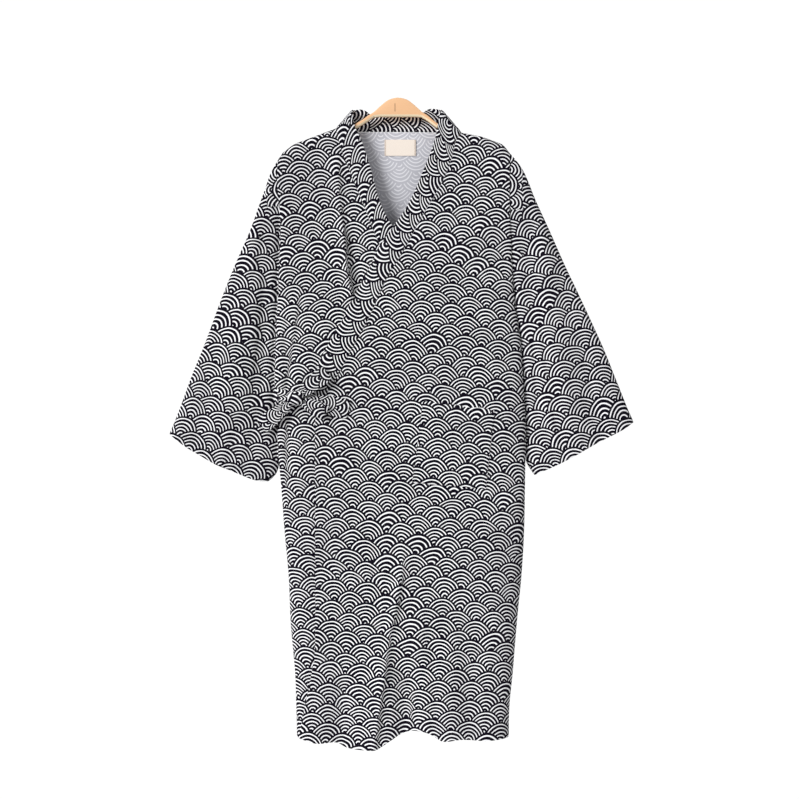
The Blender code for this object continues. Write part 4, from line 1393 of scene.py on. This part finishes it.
# Each loop's angle, its reach from the knot and its width
LOOPS = {
    "bow_loop_upper": (40, 74, 33),
    "bow_loop_lower": (-26, 62, 30),
}
# Each free end's angle, its start and end from the knot, and its depths and widths there
TAILS = {
    "bow_tail_right": (-12, 13.6, 98, -28.3, -28.0, 13, 36),
    "bow_tail_left": (-141, 15.2, 82, -30.5, -17.5, 13, 30),
}
# Each run's x and z where it is sewn on and at the knot, and its widths there
BELT_RUNS = {
    "belt_to_front_edge": (-153, -552, -185.5, -554, 27, 14),
    "belt_to_side_seam": (-222, -549, -188.5, -553, 24, 14),
}
TIE_SHARES = np.linspace(-0.5, 0.5, 15)
TIE_FLAT = 42.0
TIE_PRINT_STEP = 1.1
TIE_SHELL = 1.3
TIE_WIDE = 0.036
TIE_PLEATS = 2.5
KNOTTED_WIDE = 13
print("The bow reaches", LOOPS["bow_loop_upper"][1], "mm from its knot")


# %% Loops and free ends
def ribbon(name, centre, widths, angle, pleats, shift):
    """Tie cloth along a line of distances from the knot and depths, pleated near the knot."""
    along = np.array([math.cos(math.radians(angle)), math.sin(math.radians(angle))])
    aside = np.array([-along[1], along[0]])
    centre, widths = np.array(centre), np.array(widths)
    far, depth = centre[:, :1], centre[:, 1:]
    side = widths[:, None] * TIE_SHARES[None, :]
    x = KNOT[0] + along[0] * far + aside[0] * side
    z = KNOT[2] + along[1] * far + aside[1] * side
    wave = np.sin(TIE_SHARES * 2 * math.pi * TIE_PLEATS + 0.6)[None, :] * np.array(pleats)[:, None]
    middle = np.stack([x, depth + wave, z], axis=-1)
    run = distances(middle[:, len(TIE_SHARES) // 2])
    flat = together(TIE_SHARES * TIE_FLAT, run[:, None] * TIE_PRINT_STEP) + np.array(shift, float)
    piece = shell(name, middle, np.full(middle.shape[:2], TIE_SHELL), flat, (PRINTED, PRINTED))
    return piece, run[-1]


LOOP_NEAR, LOOP_BACK, LOOP_FRONT = 14.8, -32.0, -39.5
LOOP_PINCH = 0.3
LOOP_PINCH_WIDE = 0.4
PLEAT_FADE = 22
for number, (name, (angle, reach, widest)) in enumerate(LOOPS.items()):
    turn = np.linspace(0, 2 * math.pi, 61)
    far = LOOP_NEAR + (reach - LOOP_NEAR) * (1 - np.cos(turn)) / 2
    swell = np.sin(turn) * (0.35 + 0.65 * np.sin(turn / 2))
    depth = (LOOP_BACK + LOOP_FRONT) / 2 + (LOOP_BACK - LOOP_FRONT) / 2 * (swell + 0.25 * np.cos(turn / 2))
    widths = KNOTTED_WIDE + (widest - KNOTTED_WIDE) * np.sin(turn / 2) ** 0.8
    widths = widths * (1 - LOOP_PINCH * np.exp(-(((turn - math.pi) / LOOP_PINCH_WIDE) ** 2)))
    pleats = 0.9 * np.exp(-(far - LOOP_NEAR) / PLEAT_FADE)
    shift = (31 + 17 * number, 12 + 40 * number)
    piece, length = ribbon("tie_" + name, np.column_stack([far, depth]), widths, angle, pleats, shift)
    area = 0.8 * TIE_WIDE * length * MM
    declare(piece, [name], (TIE_WIDE, length * MM))
    print(name, "takes", round(length), "mm of tie")

for number, (name, (angle, near, end, depth0, depth1, width0, width1)) in enumerate(TAILS.items()):
    share = np.linspace(0, 1, 31)
    depth = depth0 + (depth1 - depth0) * share - 1.5 * np.sin(math.pi * share)
    widths = width0 + (width1 - width0) * np.minimum(1, 1.6 * share) ** 0.8
    pleats = 0.8 * np.exp(-share / 0.35)
    centre = np.column_stack([near + (end - near) * share, depth])
    piece, length = ribbon("tie_" + name, centre, widths, angle, pleats, (60 + 25 * number, 7 + 30 * number))
    area = 0.85 * TIE_WIDE * length * MM
    declare(piece, [name], (TIE_WIDE, length * MM))
    print(name, "is", round(length), "mm long")


# %% The belt's two runs to the bow
def belt_run(name):
    """The belt between the bow and where it is sewn on, pleated towards the bow."""
    x0, z0, x1, z1, width0, width1 = BELT_RUNS[name]
    layer = "upper" if name == "belt_to_front_edge" else "under"
    behind_knot = -KNOT[1] - KNOT_SIZE[1] / 2 - CLOTH / 2 - SEAM_GAP
    rows = []
    for share in np.linspace(0, 1, 16):
        x, z, width = between(x0, x1, share), between(z0, z1, share), between(width0, width1, share)
        depth = body_depth(np.array(float(x0 if layer == "upper" else x)), np.array(float(z)), layer)
        depth = depth + CLOTH + SEAM_GAP
        depth = depth + (behind_knot - depth) * min(1, 1.4 * share) ** 1.5
        wave = 0.5 * share * np.sin(TIE_SHARES * 2 * math.pi * TIE_PLEATS)
        rows.append(together(x, -depth + wave, z + width * TIE_SHARES))
    return np.array(rows)


for name, (x0, _, x1, *_) in BELT_RUNS.items():
    middle = belt_run(name)
    length = abs(x1 - x0)
    flat = together(TIE_SHARES * TIE_FLAT + 14, np.linspace(0, length, len(middle))[:, None])
    way = -1 if x1 < x0 else 1
    thick = np.full(middle.shape[:2], TIE_SHELL)
    piece = shell("tie_" + name, middle, thick, flat, (PRINTED, PRINTED), outside=way)
    cut = (TIE_WIDE, max(0.034, length * MM))
    area = max(areas_of(middle), 0.0006)
    declare(piece, [name], cut)
    print(name, "spans", length, "mm")

# %% [markdown]
# ## The knot
#
# The knot is the tie itself, wrapped once round the two runs and pulled tight, so it bulges between soft
# ridges. It is a rounded block whose surface is pushed in along a few furrows that run up and down it.

# %% The knot
KNOT_TURNS = 48
KNOT_RINGS = 30
KNOT_PRINT = (62, 34)
KNOT_CAP = 0.06


def knot_points():
    """Rings of points from the top of the knot to its bottom."""
    tilt = np.linspace(KNOT_CAP, math.pi - KNOT_CAP, KNOT_RINGS)[:, None]
    turn = (np.arange(KNOT_TURNS) / KNOT_TURNS * 2 * math.pi)[None, :]
    shape = together(np.sin(tilt) * np.cos(turn), np.sin(tilt) * np.sin(turn), np.cos(tilt))
    square = np.sign(shape) * np.abs(shape) ** 0.8
    furrows = 1 - 0.05 * np.cos(6 * turn + 1.2 * np.cos(tilt)) * np.sin(tilt) - 0.03 * np.cos(11 * turn)
    return np.array(KNOT, float) + np.array(KNOT_SIZE, float) / 2 * square * furrows[..., None]


def build_knot():
    """A closed block, with its print laid round it."""
    mesh, prints = capped_rings("tie_knot", knot_points() * MM)
    around = np.linspace(0, KNOT_PRINT[0], KNOT_TURNS + 1)
    high = np.linspace(KNOT_PRINT[1], 0, KNOT_RINGS)[:, None]
    flat = together(high + 5, around + 11).reshape(-1, 2) * MM
    corners = np.concatenate([prints.ravel(), np.zeros(2 * KNOT_TURNS, int)])
    mesh.uv_layers.new(name="cloth").data.foreach_set("uv", flat[corners].ravel())
    mesh.materials.append(PRINTED)
    mesh.shade_smooth()
    face_outwards(mesh)
    return placed("tie_knot", mesh)


knot = build_knot()
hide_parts("bow_knot")
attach(knot, "root")
print("The knot is", " by ".join(str(size) for size in KNOT_SIZE), "mm")

# %% [markdown]
# ## The wooden hanger
#
# A board is sawn to a long bow with a high crown, its edges eased with a router and its lower front edge
# given a wider bevel, which catches the light and shows paler wood. The outline is a table, smoothed, and
# each of its stations is a closed section, so the board can narrow to its tips. A blind hole in the crown
# takes the hook.

# %% The hanger's outline and section, in millimetres
HANGER_THICK = 12.0
HOLE_WIDE = 4.0
HOLE_DEEP = 14.0
# Rows of x, top and bottom of one half, and how much lower the wearer's left half lies at each
HANGER = (
    (0, 0, -35), (8, -1, -35), (19, -5, -35), (33, -16, -35), (44, -26, -36), (55, -33, -43), (66, -41, -50),
    (80, -49, -58), (100, -56.5, -69), (118, -61, -76), (150, -73.2, -88), (180, -86.3, -99), (186, -90, -99),
)
SHOULDER_DROP = (0, 0, 0, 0, 0, 0, 1.5, 3, 7, 6, 1, 0, 0)
ARRIS = 1.8
BEVEL_HIGH = 3.0
BEVEL_DEEP = 2.2
BEVEL_SIDES = (10, 11, 12)
TIP_START = 183
TIP_DROP = 3


def hanger_stations():
    """The hanger's top and bottom heights at stations from the wearer's right tip to the left one."""
    table = []
    for sign in (-1, 1):
        drops = [drop * (sign > 0) for drop in SHOULDER_DROP]
        rows = [(sign * x, top - drop, low - drop) for (x, top, low), drop in zip(HANGER, drops)]
        table += rows[:0:-1] if sign < 0 else rows
    table = np.array(table, float)
    x = np.unique(np.concatenate([np.arange(-184, 185, 2.0), [-186, -185.4, 185.4, 186]]))
    curve = smooth_path(table[:, :2])[0](np.linspace(0, 1, 2400))
    top = np.interp(x, curve[:, 0], curve[:, 1])
    low = np.interp(x, table[:, 0], table[:, 2])
    return x, top, low


def hanger_section(top, low):
    """A closed section in y and z: eased corners, and the wide bevel on the lower front edge."""
    half = HANGER_THICK / 2
    points = []
    corners = ((half, top, ARRIS, 0), (-half, top, ARRIS, 90), (-half, low, 0, 180), (half, low, ARRIS, 270))
    for y, z, radius, start in corners:
        if radius == 0:
            points += [(-half, low + BEVEL_HIGH + 0.6), (-half + 0.15, low + BEVEL_HIGH)]
            points += [(-half + BEVEL_DEEP, low + 0.1), (-half + BEVEL_DEEP + 0.6, low)]
            continue
        centre_y = y - math.copysign(radius, y)
        centre_z = z - radius if z == top else z + radius
        for step in range(5):
            angle = math.radians(start + 90 * step / 4)
            points.append((centre_y + radius * math.cos(angle), centre_z + radius * math.sin(angle)))
    return points


stations = hanger_stations()
print("Hanger:", round(stations[0][-1] - stations[0][0]), "mm from tip to tip")


# %% The hanger's wood
JOINT_ASIDE = 5.5 * MM
JOINT_WIDE = 0.8 * MM
JOINT_LOW = 27 * MM
JOINT_TOP = 10 * MM
JOINT_FADE = 2 * MM


def pale_wood(name):
    """Sawn pale wood under a satin lacquer, with long grain lines along the board."""
    made, start, shader = new_finish(name)
    place = on_piece(start)
    stretch = start.node("ShaderNodeMapping", None, {"Vector": place, "Scale": (6.0, 40.0, 60.0)})
    broad = start.node("ShaderNodeTexNoise", None, {"Vector": stretch, "Scale": 1.0, "Detail": 3.0})
    lines = start.node(
        "ShaderNodeTexWave",
        {"bands_direction": "Z"},
        {"Vector": stretch, "Scale": 2.4, "Distortion": 5.0, "Detail": 2.0, "Detail Scale": 1.4},
        output=1,
    )
    pores = start.node("ShaderNodeMapping", None, {"Vector": place, "Scale": (120.0, 900.0, 900.0)})
    pore = start.node("ShaderNodeTexNoise", None, {"Vector": pores, "Scale": 1.0, "Detail": 1.0})
    grain = (broad * 0.7 + lines * 0.3).clamped()
    face = grain.mix((0.84, 0.47, 0.24, 1), (0.89, 0.56, 0.32, 1))
    x, _, z = place.split()
    beside = start.maths("ABSOLUTE", x + JOINT_ASIDE)
    joint = (1.6 - beside / JOINT_WIDE).clamped() * ((z + JOINT_LOW) / JOINT_FADE).clamped()
    joint = joint * ((-JOINT_TOP - z) / JOINT_FADE).clamped()
    colour = joint.mix(face, (0.42, 0.24, 0.13, 1))
    surface = relief(start, pore - joint, 0.1, 0.2 * MM)
    feed(start, shader, Base_Color=colour, Roughness=0.5 - grain * 0.1, Normal=surface)
    shader.inputs["Coat Roughness"].default_value = 0.3
    shader.inputs["Coat Weight"].default_value = 0.15
    return made


def bare_bevel(name):
    """The paler wood of the fresh-cut bevel."""
    made, start, shader = new_finish(name)
    place = on_piece(start)
    stretch = start.node("ShaderNodeMapping", None, {"Vector": place, "Scale": (30.0, 300.0, 300.0)})
    grain = start.node("ShaderNodeTexNoise", None, {"Vector": stretch, "Scale": 1.0, "Detail": 2.0})
    colour = grain.mix((0.90, 0.72, 0.46, 1), (0.93, 0.80, 0.58, 1))
    surface = relief(start, grain, 0.08, 0.2 * MM)
    feed(start, shader, Base_Color=colour, Roughness=0.55 - grain * 0.1, Normal=surface)
    return made


WOOD = pale_wood("Pale lacquered wood")
BEVEL_WOOD = bare_bevel("Bare bevel wood")
print("Finishes:", WOOD.name, "and", BEVEL_WOOD.name)


# %% The hanger
def build_hanger():
    """The board as a loft of sections, closed at its tips, with the hook's hole cut out."""
    rings = []
    for x, top, low in zip(*stations):
        tip = 1 - max(0.0, abs(x) - TIP_START) / TIP_DROP
        ease = math.sqrt(max(0.05, tip))
        section = hanger_section(top - (1 - ease) * TIP_DROP, low + (1 - ease) * TIP_DROP)
        rings.append([(x, y * (0.55 + 0.45 * ease), z) for y, z in section])
    points = np.array(rings)
    mesh, _ = capped_rings("wooden_hanger", points * MM)
    mesh.materials.append(WOOD)
    mesh.materials.append(BEVEL_WOOD)
    faces = np.arange(len(mesh.polygons))
    bevel = np.isin(faces % points.shape[1], BEVEL_SIDES) & (faces < len(faces) - 2)
    mesh.polygons.foreach_set("material_index", bevel.astype(int))
    face_outwards(mesh)
    hanger = placed("wooden_hanger", mesh)
    radius, depth = HOLE_WIDE / 2 * MM, 2 * HOLE_DEEP * MM
    bpy.ops.mesh.primitive_cylinder_add(vertices=32, radius=radius, depth=depth, location=(0, 0, 0))
    cutter = bpy.context.object
    hole = hanger.modifiers.new("Hook hole", "BOOLEAN")
    hole.operation = "DIFFERENCE"
    hole.object = cutter
    ready = bpy.data.meshes.new_from_object(hanger.evaluated_get(bpy.context.evaluated_depsgraph_get()))
    hanger.modifiers.clear()
    hanger.data = ready
    ready.shade_smooth()
    ready.set_sharp_from_angle(angle=math.radians(32))
    bpy.data.objects.remove(cutter, do_unlink=True)
    return hanger


hanger = build_hanger()
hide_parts("hanger")
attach(hanger, "root")
print("Hanger:", len(hanger.data.polygons), "faces")

# %% [markdown]
# ## Stitches
#
# Hems, cuffs, band and pocket are held by rows of machine stitches. Each row is a line of points on the outer
# skin, and Geometry Nodes resample it to one point for each stitch, lay a short rounded stitch along the line
# there, with a small seeded wander, and make the result real.


# %% A node tree that sews along a line
def stitch_shape(long, wide, rings=7, sides=6):
    """A short rounded bar along X, as one machine stitch."""
    turn = math.pi * (np.arange(rings)[:, None] + 0.5) / rings
    angle = 2 * math.pi * np.arange(sides) / sides
    radius = wide / 2 * np.sin(turn) ** 0.6
    points = together(-long / 2 * np.cos(turn), radius * np.cos(angle), radius * np.sin(angle))
    mesh, _ = capped_rings("one_stitch", points)
    face_outwards(mesh)
    mesh.shade_smooth()
    return placed("one_stitch", mesh)


SEWING_INPUTS = {
    "Geometry": "Geometry",
    "Stitch": "Object",
    "Spacing": "Float",
    "Wander": "Float",
    "Seed": "Int",
    "Thread": "Material",
}


def sewing_tree():
    """Geometry Nodes: a line in, a row of stitches out."""
    tree = bpy.data.node_groups.new("Sew along a line", "GeometryNodeTree")
    for name, kind in SEWING_INPUTS.items():
        tree.interface.new_socket(name, in_out="INPUT", socket_type="NodeSocket" + kind)
    tree.interface.new_socket("Geometry", in_out="OUTPUT", socket_type="NodeSocketGeometry")
    entry = tree.nodes.new("NodeGroupInput")
    given = {name: Wire(tree, entry.outputs[name]) for name in SEWING_INPUTS}
    start = Wire(tree)
    line = start.node("GeometryNodeMeshToCurve", None, {"Mesh": given["Geometry"]})
    inputs = {"Curve": line, "Length": given["Spacing"]}
    even = start.node("GeometryNodeResampleCurve", {"mode": "LENGTH"}, inputs)
    chance = start.node("FunctionNodeRandomValue", {"data_type": "FLOAT_VECTOR"}, {"Seed": given["Seed"]})
    centred = start.node("ShaderNodeVectorMath", {"operation": "SUBTRACT"}, {0: chance, 1: (0.5, 0.5, 0.5)})
    inputs = {0: centred, "Scale": given["Wander"]}
    shift = start.node("ShaderNodeVectorMath", {"operation": "SCALE"}, inputs)
    moved = start.node("GeometryNodeSetPosition", None, {"Geometry": even, "Offset": shift})
    tangent = start.node("GeometryNodeInputTangent")
    turn = start.node("FunctionNodeAlignRotationToVector", {"axis": "X"}, {"Vector": tangent})
    stitch = start.node("GeometryNodeObjectInfo", None, {"Object": given["Stitch"]}, output="Geometry")
    inputs = {"Points": moved, "Instance": stitch, "Rotation": turn}
    laid = start.node("GeometryNodeInstanceOnPoints", None, inputs)
    real = start.node("GeometryNodeRealizeInstances", None, {"Geometry": laid})
    sewn = start.node("GeometryNodeSetMaterial", None, {"Geometry": real, "Material": given["Thread"]})
    tree.links.new(sewn.socket, tree.nodes.new("NodeGroupOutput").inputs["Geometry"])
    return tree


SEWING = sewing_tree()
STITCH_LONG = 2.4
STITCH_WIDE = 0.42
STITCH = stitch_shape(STITCH_LONG * MM, STITCH_WIDE * MM)
SOCKETS = {item.name: item.identifier for item in SEWING.interface.items_tree if item.in_out == "INPUT"}
print("Sewing tree with inputs", ", ".join(SOCKETS))


# %% Rows of stitches on the cloth
THREAD_CLEAR = 0.05
SEWN_IN = 2.4


def sew(name, lines, thread, spacing, wander, seed):
    """Rows of stitches along lines of points in millimetres, as one mesh object."""
    mesh = bpy.data.meshes.new(name)
    points, edges = [], []
    for line in lines:
        first = len(points)
        points += (np.array(line) * MM).tolist()
        edges += [(first + step, first + step + 1) for step in range(len(line) - 1)]
    mesh.from_pydata(points, edges, [])
    piece = placed(name, mesh)
    rows = piece.modifiers.new("Stitches", "NODES")
    rows.node_group = SEWING
    values = {"Stitch": STITCH, "Thread": thread, "Seed": seed}
    values.update({"Spacing": spacing * MM, "Wander": wander * MM})
    for socket, value in values.items():
        rows[SOCKETS[socket]] = value
    sewn = bpy.data.meshes.new_from_object(piece.evaluated_get(bpy.context.evaluated_depsgraph_get()))
    piece.modifiers.clear()
    piece.data = sewn
    sewn.shade_smooth()
    return piece


def skin_line(middle, thick, outside=1, ring=False):
    """The outer skin of a panel, a hair above the cloth, for thread to lie on."""
    out = grid_normals(middle, ring)
    return middle + out * (outside * (thick / 2 + THREAD_CLEAR))


def row_at(middle, distance):
    """The row of a panel whose distance above the panel's lower edge is nearest."""
    run = np.linalg.norm(np.diff(middle[:, middle.shape[1] // 2], axis=0), axis=1)
    from_edge = np.concatenate([np.cumsum(run[::-1])[::-1], [0]])
    return int(np.argmin(np.abs(from_edge - distance)))


def hem_row(middle, outside, ring=False):
    """Where the hem of a panel is sewn: a row a little below the folded-in edge."""
    return skin_line(middle, SHELL + HEM_THICK, outside, ring)[row_at(middle, HEM_TURN - SEWN_IN)]


hem_lines = [hem_row(panel, way)[2:-2] for panel, way in ((right_front, 1), (left_front, 1), (back, -1))]
cuff_rows = [hem_row(rings, -OUTWARDS[side], ring=True) for side, rings in sleeve_rings.items()]
cuff_lines = [np.concatenate([row, row[:1]]) for row in cuff_rows]
pocket_skin = skin_line(pocket, TRIM_SHELL)
mouth_row = int(np.argmin(np.abs(from_top - POCKET_MOUTH)))
round_pocket = np.concatenate([pocket_skin[1:-2, 1], pocket_skin[-2, 1:-1], pocket_skin[1:-2, -2][::-1]])
across_mouth = skin_line(pocket, TRIM_SHELL + MOUTH_THICK)[mouth_row - 1, 1:-1]
band_line = skin_line(collar, BAND_SHELL)[2:-2, 2]
label_skin = skin_line(label, TRIM_SHELL)
label_ends = [label_skin[1:-1, 1], label_skin[1:-1, -2]]
# Rows of a name, its lines, thread, spacing, wander, seed and slot
SEAMS = (
    ("hem_stitches", hem_lines, BLACK_THREAD, 3.2, 0.12, 3, "robe_cotton"),
    ("cuff_stitches", cuff_lines, BLACK_THREAD, 3.2, 0.12, 5, "robe_cotton"),
    ("band_stitches", [band_line], BLACK_THREAD, 3.2, 0.12, 7, "robe_cotton"),
    ("pocket_stitches", [round_pocket, across_mouth], BLACK_THREAD, 3.2, 0.12, 9, "robe_cotton"),
    ("label_stitches", label_ends, BROWN_THREAD, 2.8, 0.05, 11, "label_cotton"),
)
for name, lines, thread, spacing, wander, seed, slot in SEAMS:
    stitches = sew(name, lines, thread, spacing, wander, seed)
    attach(stitches, "root")
bpy.data.objects.remove(STITCH, do_unlink=True)
print("Sewn: hems, cuffs, band, pocket and label")

# %% [markdown]
# ## Floor, light and backdrop
#
# The robe hangs in the air against white, with a plain pale floor well below it. A far lamp from the upper
# left of the camera, wide enough for soft shadows, gives the folds their shape. A weak square lamp from the
# right keeps the far sleeve open, and one behind lights the back. The world is white to the camera and dimmer
# as a light.

# %% Floor
FLOOR_LEVEL = -1.6
FLOOR_RADIUS = 1.0
floor_mesh = bpy.data.meshes.new("floor")
work = bmesh.new()
bmesh.ops.create_circle(work, cap_ends=True, radius=FLOOR_RADIUS, segments=64)
bmesh.ops.translate(work, verts=work.verts, vec=(0, 0, FLOOR_LEVEL))
work.to_mesh(floor_mesh)
work.free()
floor_finish, _, floor_shader = new_finish("Pale floor")
floor_shader.inputs["Base Color"].default_value = (0.9, 0.9, 0.9, 1)
floor_shader.inputs["Roughness"].default_value = 0.9
floor_mesh.materials.append(floor_finish)
floor = placed("floor", floor_mesh)
print("Floor at", FLOOR_LEVEL, "m")


# %% Soft lights
def soft_light(name, kind, place, size, power):
    """A lamp that faces the robe: a square one of a size in metres, or a far one of a size in radians."""
    data = bpy.data.lights.new(name, kind)
    setattr(data, "size" if kind == "AREA" else "angle", size)
    data.energy = power
    lamp = placed(name, data)
    lamp.location = place
    way = np.array(MIDDLE, float) - np.array(place, float)
    flat = math.hypot(way[0], way[1])
    lamp.rotation_euler = (math.atan2(flat, -way[2]), 0, math.atan2(way[1], way[0]) - math.pi / 2)


MIDDLE = (0, 0, -0.6)
# Rows of a name, kind, place, size and power
LAMPS = (
    ("Key light", "SUN", (-2.6, -2.2, 0.6), 0.5, 3.3),
    ("Fill light", "AREA", (2.2, -2.2, -0.3), 2.2, 12),
    ("Back light", "AREA", (0.6, 2.6, 0.6), 2.2, 60),
)
# The world's strength as a light, and how much more of it the camera sees
WORLD_LIGHT = 0.37
WORLD_SEEN = 0.68
for lamp in LAMPS:
    soft_light(*lamp)
world = bpy.data.worlds.new("White studio")
world.use_nodes = True
bpy.context.scene.world = world
air = Wire(world.node_tree)
seen = air.node("ShaderNodeLightPath", None, None, output=0)
background = world.node_tree.nodes["Background"]
background.inputs["Color"].default_value = (1, 1, 1, 1)
strength = seen * WORLD_SEEN + WORLD_LIGHT
world.node_tree.links.new(strength.socket, background.inputs["Strength"])
bpy.context.scene.view_settings.view_transform = "Standard"
print(len(LAMPS), "lamps and a white world")
